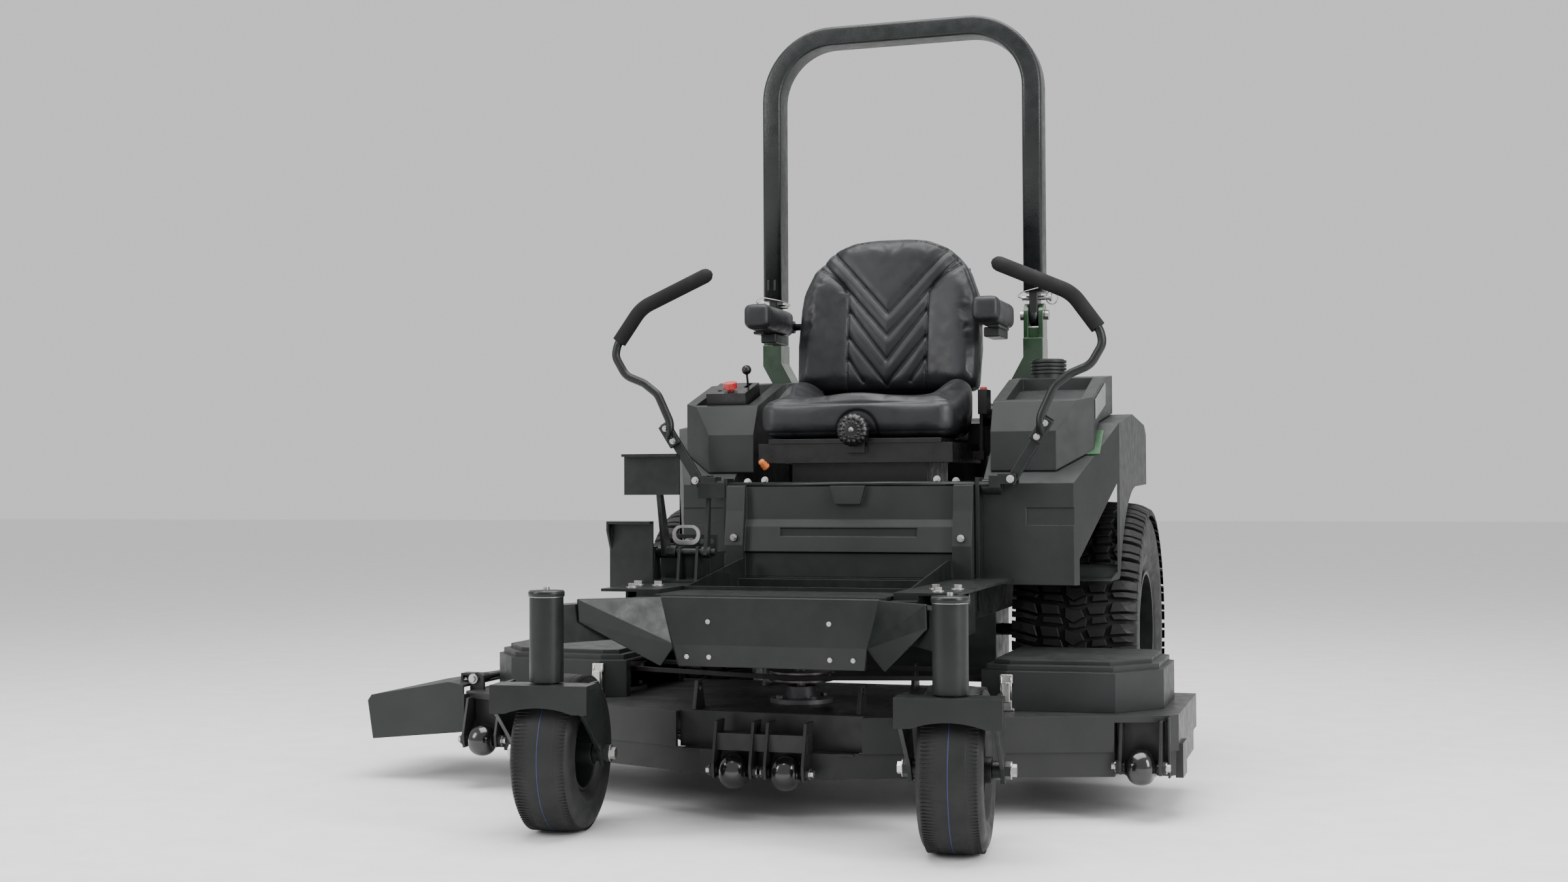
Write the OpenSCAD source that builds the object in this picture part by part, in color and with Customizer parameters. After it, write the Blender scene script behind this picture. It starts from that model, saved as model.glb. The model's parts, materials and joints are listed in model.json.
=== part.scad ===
/* [Machine] */
// Height of the roll bar's top above the ground
rops_top = 1905; // [1780:5:2100]
// Distance from the caster pivots back to the drive axle
axle_y = 1330; // [1300:5:1600]
// Distance from the caster pivots back to the rear bumper's rear face
bumper_y = 1960; // [1940:5:2350]
// Distance from the centre plane to each caster pivot
caster_x = 410; // [380:5:490]
// Distance from the centre plane to the middle of each frame rail
rail_x = 275; // [265:1:280]

/* [Wheels] */
// Diameter of a front caster tyre
caster_tyre_d = 318; // [290:1:322]
// Width of a front caster tyre
caster_tyre_w = 124; // [100:1:140]
// Distance from a caster's pivot back to its wheel axle
caster_trail = 96; // [80:1:110]
// Turn of both casters as parked
caster_turn = 6; // [-15:1:15]
// Diameter of a drive tyre
drive_tyre_d = 656; // [550:1:670]
// Width of a drive tyre
drive_tyre_w = 300; // [250:1:310]
// Distance from the centre plane to the middle of a drive tyre
drive_x = 480; // [475:1:560]

/* [Deck] */
// Width of the mower deck without its chute
deck_w = 1656; // [1600:1:1900]
// Sideways offset of the deck towards its discharge side
deck_offset = 60; // [0:1:80]
// Height of the deck's lower edge above the ground
deck_z = 90; // [75:1:108]
// Height of the deck shell
deck_h = 127; // [110:1:130]
// Thickness of the deck's sheet steel
deck_wall = 5; // [4:0.5:8]
// Length of a blade, tip to tip
blade_len = 490; // [400:1:494]
// Distance between neighbouring spindles across the deck
spindle_pitch = 500; // [498:1:560]

/* [Seat and roll bar] */
// Width of the seat cushion
seat_w = 500; // [440:1:510]
// Height of the seat cushion's underside above the ground
seat_z = 812; // [800:1:840]
// Length of the backrest
back_len = 400; // [340:5:480]
// Outside width of the roll bar
rops_w = 744; // [700:1:760]
// Width of the roll bar tube, seen from the front
rops_tube_w = 50; // [40:1:55]
// Depth of the roll bar tube, front to back
rops_tube_d = 75; // [60:1:80]

/* [Controls] */
// Diameter of a lap bar's steel tube
bar_d = 20; // [16:1:24]
// Diameter of a lap bar's foam grip
grip_d = 33; // [26:1:38]
// Diameter of the seat's weight adjusting knob
knob_d = 76; // [50:1:90]

/* [Hidden] */
$fn = 64;

// Clearances
run_gap = 0.05;   // radial, of a shaft in its bore
part_gap = 1;     // between neighbouring pieces that don't touch
seat_gap = 3;     // round soft pads

// Overall placing: the origin is on the ground below the middle of the whole outline
chute_reach = 262;
chute_rod_r = 7;
deck_mid = -deck_offset;
deck_half = deck_w / 2;
caster_r = caster_tyre_d / 2;
drive_r = drive_tyre_d / 2;
tread_flat = 0.35;     // flat share of a tyre's width, each side of its middle
front_y = (caster_trail - caster_r) * cos(caster_turn)
          - tread_flat * caster_tyre_w / 2 * sin(abs(caster_turn));
side_min = deck_mid - deck_half - chute_reach;
side_max = deck_mid + deck_half + 8;
mid_x = -(side_min + side_max) / 2;
mid_y = -(front_y + bumper_y) / 2;

// Frame
rail_w = 50;
rail_z = 395;
rail_h = 75;
rail_top = rail_z + rail_h;
cross_y = 182;
barrel_r = 34;
barrel_z0 = caster_tyre_d - 6;
barrel_z1 = 480;
stem_r = 16;
plate_z = 486;         // top of the front plates
plate_t = 6;
pan_front_y = 337;
pan_back_y = 753;
riser_y = 741;         // front face of the seat riser's pillars
riser_top = 702;
engine_y = axle_y + 170;

// Caster fork
leg_t = 8;
fork_half = caster_tyre_w / 2 + 30;
fork_top = barrel_z0 - 3;
fork_plate_t = 10;
// the top plate ends where the tyre rises to its underside
fork_back = caster_trail - sqrt(pow(caster_tyre_d / 2, 2)
            - pow(fork_top - fork_plate_t - 5 - caster_tyre_d / 2, 2));
caster_axle_r = 10;
rim_r = 76;

// Drive wheels
drive_rim_r = 152;
axle_shaft_r = 15;
arch_r = drive_r + 38;

// Deck
deck_top = deck_z + deck_h;
deck_back_y = axle_y - drive_r - 22;
deck_depth = 660;
deck_front_y = deck_back_y - deck_depth;
deck_corner_y = deck_front_y + 232;
step_back = 52;        // of the middle of the upper front wall
band_h = 52;           // height of the deck's lower band
spindle_front_y = deck_front_y + 265;
spindle_side_y = deck_back_y - deck_wall - blade_len / 2 - 12;
shaft_r = 12.5;
blade_z = deck_z + 18;
cover_h = 106;
roller_r = 37;
roller_w = 68;
roller_bolt_r = 8;
roller_y = deck_front_y - 32;
roller_z = 105;
corner_x = deck_half - 72;
corner_y = deck_front_y + 198;
corner_z = 112;
notch_w = 108;
pocket_y = deck_front_y + 240;    // back of the roller pockets
cover_x0 = 412;

// Seat
seat_y0 = 800;
seat_y1 = 1110;
back_tilt = 10;
back_y = 1172;
back_z = 925;
susp_z0 = 640;
seat_travel = 45;
back_pivot = [1208, 797];
back_pivot_r = 9;
knob_at = [8, 828];     // weight knob, [x, height]
knob_shaft_r = 6;
arm_hinge = [282, 1222, 1112];
arm_rod_r = 9;

// Height pin
pin_x = -312;
pin_r = 6;

// Pedals: [y, height] of their cross shaft
pedal_axis = [470, 553];
pedal_shaft_r = 8;

// Lap bars: points of one bar in the plane across the machine, [x, height]
bar_y = 790;
bar_pivot = [380, 712];
bar_path = [[452, 820], [448, 853], [479, 920], [515, 948], [562, 967], [590, 1015], [583, 1044],
            [571, 1061]];
grip_path = [[577, 1052], [521, 1130], [342, 1208]];
knuckle = 1.16;        // radius of a tube's knuckles, of the tube's own
bar_offset = 14;       // tube ahead of its flat lower arm
stub_r = 9;            // stub shaft that a control lever turns on

// Roll bar
rops_y = axle_y - 32;
rops_x = rops_w / 2 - rops_tube_w / 2;
hinge_z = 1130;
hoop_z0 = 1190;
hoop_bend_r = 190;
rops_wall = 5;

// Fenders and pods
fender_x0 = 305;
fender_x1 = 595;
fender_right_x1 = 510;
fender_front = 80;        // how much narrower a fender is at its front
fender_y0 = 820;
fender_z0 = 470;
fender_y1 = axle_y + 300;
skin = 5;
pod_y0 = 852;
pod_y1 = rops_y - 60;
pod_left_x = [318, 548];  // inner and outer side
pod_right_x = [262, 455];
pod_rim = 27;
tray_front = [900, 868];
tray_back = [1090, 925];

// Colours
frame_black = [0.11, 0.12, 0.12];
deck_black = [0.13, 0.13, 0.13];
plastic_grey = [0.20, 0.21, 0.21];
rubber_black = [0.06, 0.06, 0.06];
vinyl_black = [0.10, 0.10, 0.11];
rops_green = [0.08, 0.20, 0.09];
zinc = [0.72, 0.72, 0.70];
knob_red = [0.70, 0.08, 0.07];
engine_black = [0.15, 0.15, 0.16];
cast_grey = [0.45, 0.45, 0.46];

// ---------- shared shapes ----------
module place() translate([mid_x, mid_y, 0]) children();

module on_side(s) { if (s > 0) children(); else mirror([1, 0, 0]) children(); }

module both() { for (s = [-1, 1]) on_side(s) children(); }

module box(x0, x1, y0, y1, z0, z1) translate([x0, y0, z0]) cube([x1 - x0, y1 - y0, z1 - z0]);

module xrod(x0, x1, y, z, r) translate([x0, y, z]) rotate([0, 90, 0]) cylinder(h = x1 - x0, r = r);

module yrod(y0, y1, x, z, r) translate([x, y1, z]) rotate([90, 0, 0]) cylinder(h = y1 - y0, r = r);

module zrod(z0, z1, x, y, r) translate([x, y, z0]) cylinder(h = z1 - z0, r = r);

// A flat outline of [y, z] points, thick along X
module side_sheet(x0, x1) translate([x0, 0, 0]) rotate([90, 0, 90]) linear_extrude(x1 - x0) children();

// A flat outline of [x, z] points, thick along Y
module front_sheet(y0, y1) translate([0, y1, 0]) rotate([90, 0, 0]) linear_extrude(y1 - y0) children();

// A straight round rod between two [x, z] points in the plane y
module link(a, b, y, r) {
    d = b - a;
    translate([a[0], y, a[1]]) rotate([0, atan2(d[0], d[1]), 0]) cylinder(h = norm(d), r = r);
}

function heading(a, b) = atan2(b[1] - a[1], b[0] - a[0]);

// A round tube along a list of [x, z] points, with a welded knuckle at each inner point
module bent_tube(pts, y, r) {
    for (i = [0:len(pts) - 2]) link(pts[i], pts[i + 1], y, r);
    for (i = [1:len(pts) - 2]) translate([pts[i][0], y, pts[i][1]]) sphere(r = r * knuckle);
}

module rounded_rect(w, h, r) offset(r = r) square([w - 2 * r, h - 2 * r], center = true);

// A hexagon bolt head whose axis is Z
module hex_head(r, h) cylinder(h = h, r = r, $fn = 6);

// ---------- frame ----------
module caster_arm() {
    a = [rail_x + 10, cross_y + 22];
    b = [caster_x, 0];
    d = b - a;
    translate([a[0], a[1], 388]) rotate([0, 0, atan2(d[1], d[0])])
        translate([0, -22, 0]) cube([norm(d), 44, 76]);
}

module main_frame() color(frame_black) place() {
    difference() {
        union() {
            both() {
                box(rail_x - rail_w / 2, rail_x + rail_w / 2, cross_y, bumper_y - 60, rail_z, rail_top);
                caster_arm();
                zrod(barrel_z0, barrel_z1, caster_x, 0, barrel_r);
                // front top plate over the rail
                box(rail_x - rail_w / 2, rail_x + 105, cross_y + 20, pan_back_y + 47, plate_z - plate_t, plate_z);
                box(rail_x + 60, rail_x + 66, cross_y + 60, 560, rail_z - 15, plate_z - plate_t);
                box(rail_x - rail_w / 2, rail_x + rail_w / 2, cross_y + 20, pan_back_y + 47, rail_top, plate_z);
            }
            box(-rail_x, rail_x, cross_y, cross_y + 50, rail_z, rail_top);
            box(-rail_x, rail_x, 790, 830, rail_z + 10, rail_top - 10);
            box(-rail_x, rail_x, axle_y - 120, bumper_y - 110, rail_top, rail_top + 8);
            box(-rail_x, rail_x, bumper_y - 90, bumper_y - 60, rail_z, rail_top);
            // guard plate behind the deck
            box(-rail_x - 20, rail_x + 20, deck_back_y + 34, deck_back_y + 40, deck_top + 8, rail_z + 5);
            // seat and riser supports
            both() box(205, 245, 800, 1120, rail_top, susp_z0 - 12);
            box(-245, 245, 800, 1120, susp_z0 - 12, susp_z0);
            both() box(205, 245, 780, 800, rail_top - 20, susp_z0 - 12);
            // towers and stub shafts of the control levers
            both() {
                box(299, 308, bar_y - 24, bar_y + 24, rail_z + 20, bar_pivot[1] + 4);
                xrod(307, bar_pivot[0] - 26, bar_y, bar_pivot[1] - 18, stub_r);
            }
            // hangers of the drive units
            both() box(242, 250, axle_y - 90, axle_y + 90, 260, rail_z + 20);
        }
        both() {
            zrod(barrel_z0 - 1, barrel_z1 + 1, caster_x, 0, stem_r + run_gap);
            xrod(240, rail_x + rail_w / 2 + 1, axle_y, drive_r, axle_shaft_r + 2);
        }
    }
}

// One facet that sweeps from the centre panel forward to a caster barrel
module fairing_facet() hull() {
    translate([228, 168, 470]) sphere(r = 3, $fn = 12);
    translate([205, 170, 376]) sphere(r = 3, $fn = 12);
    translate([238, 178, 334]) sphere(r = 3, $fn = 12);
    translate([356, 34, 472]) sphere(r = 3, $fn = 12);
    translate([356, 40, 430]) sphere(r = 3, $fn = 12);
}

module front_fairing() color(frame_black) place() {
    // centre panel, its foot and its folded lower edge
    hull() both() {
        translate([229, 165, 471]) sphere(r = 3, $fn = 12);
        translate([204, 166, 377]) sphere(r = 3, $fn = 12);
    }
    hull() both() {
        translate([204, 166, 377]) sphere(r = 3, $fn = 12);
        translate([196, 178, 334]) sphere(r = 3, $fn = 12);
    }
    both() fairing_facet();
    // top strip back to the foot well
    box(-rail_x + 30, rail_x - 30, 166, pan_front_y, plate_z - plate_t - 8, plate_z - 8);
}

module floor_pan() color(plastic_grey) place() {
    inner = rail_x - rail_w / 2 - part_gap;
    floor_z = rail_z + 8;
    difference() {
        box(-inner, inner, pan_front_y + part_gap, pan_back_y - 14, floor_z, plate_z);
        box(-inner + 4, inner - 4, pan_front_y + 5, pan_back_y - 18, floor_z + 4, plate_z + 1);
    }
    // raised side walls
    both() side_sheet(inner - 4, inner) polygon([[pan_front_y + 20, plate_z - 1], [pan_back_y - 20, plate_z - 1],
        [pan_back_y - 20, plate_z + 44], [pan_back_y - 66, plate_z + 40]]);
    // step at the back of the foot well
    box(-inner + 4, inner - 4, 690, 708, floor_z + 4, plate_z - 2);
    // floor ribs
    for (i = [0:6]) box(-170 + 50 * i, -150 + 50 * i, 380, 660, floor_z + 4, floor_z + 8);
}

module seat_riser() color(plastic_grey) place() {
    w = 296;
    difference() {
        // moulded front of the seat box
        side_sheet(-w, w) polygon([[pan_back_y + 4, plate_z], [pan_back_y + 4, 541],
            [pan_back_y - 4, 545], [pan_back_y + 6, 603], [pan_back_y + 14, 620],
            [pan_back_y + 16, riser_top - 6], [pan_back_y + 22, riser_top],
            [pan_back_y + 45, riser_top], [pan_back_y + 45, plate_z]]);
        side_sheet(-w + 4, w - 4) polygon([[pan_back_y + 9, plate_z - 1], [pan_back_y + 9, 598],
            [pan_back_y + 19, 620], [pan_back_y + 21, riser_top - 6], [pan_back_y + 46, riser_top - 6],
            [pan_back_y + 46, plate_z - 1]]);
        front_sheet(pan_back_y, pan_back_y + 8) translate([0, 590]) square([330, 20], center = true);
    }
    // pillars beside the foot well
    both() difference() {
        side_sheet(251, w) polygon([[riser_y, plate_z], [riser_y - 6, 560], [riser_y + 8, 640],
            [riser_y + 14, riser_top - 4], [pan_back_y + 23, riser_top], [pan_back_y + 6, plate_z]]);
        yrod(riser_y - 20, riser_y, 272, 578, 9);
    }
    // centre boss
    front_sheet(pan_back_y + 2, pan_back_y + 18) polygon([[-42, riser_top - 4], [-30, 655], [30, 655],
        [42, riser_top - 4]]);
}

// ---------- bodywork ----------
function arch(a0, a1, n) = [for (i = [0:n]) let (a = a0 + (a1 - a0) * i / n)
    [axle_y + arch_r * cos(a), drive_r + arch_r * sin(a)]];

module fender_profile(inset) offset(delta = -inset) polygon(concat(
    [[fender_y0, fender_z0], [fender_y0, 702], [1000, 843], [axle_y - 80, 872], [axle_y + 170, 852],
     [fender_y1, 775], [fender_y1, drive_r + arch_r + 6]],
    arch(88, 156, 10), [[fender_y0 + 120, fender_z0]]));

module fender_plan(x1, inset) offset(delta = -inset) polygon([[fender_x0, fender_y0],
    [x1 - fender_front, fender_y0], [x1, 1000], [x1, fender_y1 - 90], [x1 - 50, fender_y1],
    [fender_x0, fender_y1]]);

module fender(x1) {
    difference() {
        intersection() {
            side_sheet(fender_x0, x1) fender_profile(0);
            linear_extrude(1000) fender_plan(x1, 0);
        }
        intersection() {
            side_sheet(fender_x0 + skin, x1) fender_profile(skin);
            linear_extrude(1000) fender_plan(x1, skin);
        }
        // open underside over the tyre
        translate([0, 0, -1]) intersection() {
            side_sheet(fender_x0 + skin, x1 - skin) polygon(concat(
                [[fender_y1 - skin, drive_r + arch_r + 20]], [[fender_y1 - skin, drive_r + arch_r - 2]],
                arch(88, 150, 10), [[fender_y0 + 130, fender_z0 - 5], [fender_y0 + 20, fender_z0 - 5],
                [fender_y0 + 20, fender_z0 + 60], [1000, drive_r + arch_r + 20]]));
        }
        // grip groove
        box(x1 - 189, x1 - 75, fender_y0 - 5, fender_y0 + 3, 606, 646);
    }
}

module fender_left() color(plastic_grey) place() fender(fender_x1);
module fender_right() color(plastic_grey) place() on_side(-1) fender(fender_right_x1);

module pod_outline(x0, x1) polygon([[x0, pod_y0], [x1 - 78, pod_y0], [x1, pod_y0 + 60],
    [x1, pod_y1], [x0, pod_y1]]);

module pod(x0, x1) difference() {
    intersection() {
        side_sheet(x0 - 1, x1 + 1) polygon([[pod_y0, 731], [pod_y0, 822], [pod_y0 + 34, 893], [1090, 955],
            [pod_y1, 968], [pod_y1, 876], [axle_y - 80, 876], [1000, 847]]);
        linear_extrude(1100) pod_outline(x0, x1);
    }
    // recessed tray
    intersection() {
        side_sheet(x0 + pod_rim, x1 - pod_rim) polygon([tray_front, tray_back, [1130, 928],
            [1130, 1000], [900, 1000]]);
        linear_extrude(1100) translate([x0 + pod_rim, 900]) square([x1 - x0 - 2 * pod_rim, 230]);
    }
}

module pod_left() color(plastic_grey) place() {
    pod(pod_left_x[0], pod_left_x[1]);
    // fuel filler neck and finned cap
    zrod(955, 972, 400, pod_y1 - 58, 40);
    for (i = [0:3]) zrod(972 + 9 * i, 978 + 9 * i, 400, pod_y1 - 58, 44);
    zrod(972, 1008, 400, pod_y1 - 58, 38);
}

module pod_right() color(plastic_grey) place() on_side(-1) pod(pod_right_x[0], pod_right_x[1]);

// The switch panel on the right pod's tray, sloping towards the operator
panel_x = -347;
panel_y = 912;
panel_t = 56;
panel_tilt = heading(tray_front, tray_back);
panel_z = tray_front[1] + (panel_y - tray_front[0]) * tan(panel_tilt);
pto_at = [2, 30];
pto_r = 8;
throttle_at = [31, 80, panel_t - 14];    // its pivot, in the panel's own axes
throttle_r = 3;
module panel_frame() translate([panel_x, panel_y, panel_z]) rotate([panel_tilt, 0, 0]) children();

module control_panel() color(engine_black) place() panel_frame() difference() {
    translate([-52, -1, 0]) cube([102, 111, panel_t]);
    translate([pto_at[0], pto_at[1], -1]) cylinder(h = panel_t + 2, r = pto_r + run_gap);
    translate([-26, 30, -1]) cylinder(h = panel_t + 2, r = 6);
    translate([throttle_at[0] - 5, 58, -1]) cube([10, 46, panel_t + 2]);
    xrod(throttle_at[0] - 9, throttle_at[0] + 9, throttle_at[1], throttle_at[2], throttle_r + run_gap);
}

module pto_knob() color(knob_red) place() panel_frame() translate([pto_at[0], pto_at[1], 0]) {
    translate([0, 0, panel_t - 18]) cylinder(h = 26, r = pto_r);
    translate([0, 0, panel_t + 6]) cylinder(h = 14, r = 17);
}

module throttle_lever() color(engine_black) place() panel_frame() translate(throttle_at) {
    xrod(-8.5, 8.5, 0, 0, throttle_r);
    xrod(-3, 3, 0, 0, 9);
    translate([-2, -3, 0]) cube([4, 6, 50]);
    translate([0, 0, 54]) sphere(r = 12);
}

module rops_uprights() color(rops_green) place() both() {
    x1 = rops_w / 2;
    x0 = x1 - rops_tube_w;
    y0 = rops_y - rops_tube_d / 2;
    y1 = rops_y + rops_tube_d / 2;
    lean = x1 - rail_x - 25;
    difference() {
        union() {
            front_sheet(y0, y1) polygon([[x0, hinge_z - 60], [x1, hinge_z - 60], [x1, 1015],
                [x1 - lean, 885], [x1 - lean, rail_top + 8], [x0 - lean, rail_top + 8],
                [x0 - lean, 890], [x0, 1022]]);
            // clevis cheeks of the fold hinge
            for (x = [x0, x1 - 12]) side_sheet(x, x + 12) union() {
                translate([rops_y, hinge_z]) circle(r = 30);
                translate([rops_y - 30, hinge_z - 61]) square([60, 61]);
            }
        }
        xrod(x0 - 5, x1 + 5, rops_y, hinge_z, 8 + run_gap);
    }
    // foot plate on the frame rail
    box(rail_x - 25, rail_x + 25, y0 - 30, y1 + 30, rail_top + 8, rail_top + 20);
}

module hoop_leg() {
    x1 = rops_w / 2;
    difference() {
        box(x1 - rops_tube_w, x1, rops_y - rops_tube_d / 2, rops_y + rops_tube_d / 2,
            hoop_z0, rops_top - hoop_bend_r);
        box(x1 - rops_tube_w + rops_wall, x1 - rops_wall, rops_y - rops_tube_d / 2 + rops_wall,
            rops_y + rops_tube_d / 2 - rops_wall, hoop_z0 + 8, rops_top - hoop_bend_r + 1);
    }
    // tongue between the clevis cheeks
    difference() {
        side_sheet(x1 - 36, x1 - 14) union() {
            translate([rops_y, hinge_z]) circle(r = 28);
            translate([rops_y - 28, hinge_z]) square([56, hoop_z0 - hinge_z + 4]);
        }
        xrod(x1 - 60, x1 + 5, rops_y, hinge_z, 8);
        xrod(x1 - 60, x1 + 5, rops_y, hinge_z + 44, 6);
    }
}

module hoop_ring(inset) translate([rops_w / 2 - hoop_bend_r, 0, rops_top - hoop_bend_r])
    front_sheet(rops_y - rops_tube_d / 2 + inset, rops_y + rops_tube_d / 2 - inset) intersection() {
        difference() {
            circle(r = hoop_bend_r - inset, $fn = 96);
            circle(r = hoop_bend_r - rops_tube_w + inset, $fn = 96);
        }
        square(hoop_bend_r + 1);
    }

module hoop_corner() difference() {
    hoop_ring(0);
    hoop_ring(rops_wall);
}

module rops_hoop() color(frame_black) place() {
    both() {
        hoop_leg();
        hoop_corner();
    }
    w = rops_w / 2 - hoop_bend_r;
    difference() {
        box(-w, w, rops_y - rops_tube_d / 2, rops_y + rops_tube_d / 2, rops_top - rops_tube_w, rops_top);
        box(-w - 1, w + 1, rops_y - rops_tube_d / 2 + rops_wall, rops_y + rops_tube_d / 2 - rops_wall,
            rops_top - rops_tube_w + rops_wall, rops_top - rops_wall);
    }
}

module rops_pins() color(zinc) place() both() {
    x1 = rops_w / 2;
    // hinge bolt with head and nut
    xrod(x1 - rops_tube_w - 3, x1 + 3, rops_y, hinge_z, 8);
    xrod(x1 + part_gap, x1 + 10, rops_y, hinge_z, 13);
    xrod(x1 - rops_tube_w - 12, x1 - rops_tube_w - part_gap, rops_y, hinge_z, 13);
    // lock pin with its ring
    xrod(x1 - rops_tube_w - 8, x1 + 12, rops_y, hinge_z + 44, 6);
    translate([x1 + 12, rops_y, hinge_z + 44]) rotate([0, 90, 0]) cylinder(h = 5, r = 10);
}

// ---------- engine and drive ----------
module engine_block() color(cast_grey) place() {
    deck = rail_top + 8;
    box(-150, 150, engine_y - 130, engine_y + 130, deck, deck + 70);
    zrod(deck + 70, deck + 190, 0, engine_y, 120);
    // finned cylinders of the V-twin
    for (s = [-1, 1]) translate([0, engine_y, deck + 120]) rotate([0, 0, 45 * s + 90]) {
        for (i = [0:7]) translate([100 + 12 * i, -62, -50]) cube([5, 124, 100]);
        translate([96, -50, -40]) cube([104, 100, 80]);
        translate([194, -55, -48]) cube([34, 110, 96]);
    }
}

module engine_shroud() color(engine_black) place() {
    deck = rail_top + 8 + 191;
    difference() {
        translate([0, engine_y, deck]) linear_extrude(110) rounded_rect(420, 380, 60);
        translate([0, engine_y, deck - 1]) linear_extrude(104) rounded_rect(408, 368, 54);
        translate([0, engine_y, deck + 90]) cylinder(h = 40, r = 108);
    }
    // cooling screen
    for (i = [0:4]) translate([0, engine_y, deck + 104]) difference() {
        cylinder(h = 4, r = 112 - 20 * i);
        translate([0, 0, -1]) cylinder(h = 6, r = 103 - 20 * i);
    }
    for (a = [0:90:90]) translate([0, engine_y, deck + 104.5]) rotate([0, 0, a])
        translate([-110, -4, 0]) cube([220, 8, 3]);
    // air cleaner canister across the back
    translate([0, engine_y + 130, deck + 158]) rotate([0, 90, 0]) {
        translate([0, 0, -150]) cylinder(h = 301, r = 55);
        translate([0, 0, 150]) cylinder(h = 24, r = 57);
    }
    box(-90, 90, engine_y + 95, engine_y + 170, deck + 105, deck + 130);
}

module muffler() color(cast_grey) place() {
    y = bumper_y - 150;
    zm = rail_top + 78;
    xrod(-170, 170, y, zm, 66);
    box(-120, 120, y - 40, y + 40, rail_top + 8, zm - 40);
    xrod(170, 215, y, zm, 20);
    for (x = [-60, 60]) yrod(engine_y + 130, y, x, zm - 22, 17);
}

module rear_bumper() color(frame_black) place() {
    y = bumper_y - 22;
    both() {
        box(rail_x - 25, rail_x + 25, bumper_y - 60, bumper_y - 6, rail_z - 20, rail_z + 260);
        box(rail_x - 20, rail_x + 20, bumper_y - 60, bumper_y - 48, rail_z + 200, rail_z + 300);
    }
    xrod(-rail_x + 24, rail_x - 24, y, rail_z + 235, 22);
    xrod(-rail_x + 24, rail_x - 24, y, rail_z + 110, 16);
    // hitch plate with its hole
    difference() {
        box(-rail_x + 24, rail_x - 24, bumper_y - 60, bumper_y - 6, rail_z - 20, rail_z - 8);
        zrod(rail_z - 30, rail_z, 0, bumper_y - 34, 10);
    }
}

module transaxles() color(cast_grey) place() both() {
    box(125, 242, axle_y - 100, axle_y + 100, drive_r - 80, drive_r + 62);
    zrod(drive_r + 61, rail_top - 12, 175, axle_y - 40, 45);
    xrod(241, drive_x + 25, axle_y, drive_r, axle_shaft_r);
    xrod(drive_x - 20, drive_x - 12, axle_y, drive_r, 26);
}

// ---------- small frame pieces ----------
module foot_step() color(frame_black) place() {
    x0 = -452;
    x1 = -350;
    // upright plate, dropped beside the frame's top plate, with a folded tread and a gusset
    box(x0, x1, 418, 424, plate_z, 622);
    box(x0, -rail_x - 107, 418, 424, plate_z - 16, plate_z + 1);
    box(x0, x1, 398, 424, 616, 622);
    side_sheet(x0, x0 + 5) polygon([[398, 616], [398, 600], [418, 560], [418, 500], [424, 500], [424, 622],
        [398, 622]]);
    box(-rail_x - 104, x1, 418, 444, plate_z, plate_z + 6);
}

module height_selector() color(frame_black) place() difference() {
    union() {
        // base plate, bracket plates and cross shaft of the pedals
        box(-372, -258, pedal_axis[0] - 24, 521, plate_z, plate_z + 6);
        for (x = [-366, -306, -264]) side_sheet(x, x + 6) polygon([[pedal_axis[0] - 24, plate_z],
            [pedal_axis[0] + 24, plate_z], [pedal_axis[0] + 12, pedal_axis[1] + 12],
            [pedal_axis[0] - 12, pedal_axis[1] + 12]]);
        xrod(-366, -222, pedal_axis[0], pedal_axis[1], pedal_shaft_r);
        box(-372, -rail_x + 23, 520, 610, plate_z, 545);
        box(-378, -rail_x + 23, 512, 618, 545, 551);
        box(-372, -rail_x + 23, 560, 566, 550, 590);
    }
    for (i = [0:4]) yrod(550, 575, pin_x + 24 * (i - 2), 575, pin_r + run_gap);
}

module height_pin() color(zinc) place() {
    yrod(530, 572, pin_x, 575, pin_r);
    // oval loop handle
    translate([pin_x, 532, 575]) rotate([90, 0, 0]) linear_extrude(7) difference() {
        translate([0, 14]) rounded_rect(66, 44, 20);
        translate([0, 16]) rounded_rect(50, 28, 13);
    }
}

module bolt_up(x, y, z, r, h) translate([x, y, z]) {
    cylinder(h = 2, r = r * 1.5);
    translate([0, 0, 2]) hex_head(r, h);
}

module frame_fasteners() color(zinc) place() {
    both() {
        for (x = [rail_x + 30, rail_x + 76]) bolt_up(x, 335, plate_z, 9, 8);
        bolt_up(rail_x + 55, 250, plate_z, 8, 7);
        // barrel caps with their grease fittings
        translate([caster_x, 0, barrel_z1]) cylinder(h = 12, r = barrel_r + 1);
        translate([caster_x, 0, barrel_z1 + 12]) cylinder(h = 8, r = 6);
        // pillar screws
        yrod(riser_y - 6, riser_y, 272, 578, 8);
        // bolts on the seat riser
        bolt_up(252, 786, riser_top, 8, 7);
    }
    // side rail bolts
    for (p = [[300, 398], [340, 413], [440, 459]])
        translate([rail_x + 66, p[0], p[1]]) rotate([0, 90, 0]) hex_head(12, 12);
}

// ---------- casters ----------
module caster_frame(s) translate([s * caster_x, 0, 0]) rotate([0, 0, caster_turn]) children();

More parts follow.
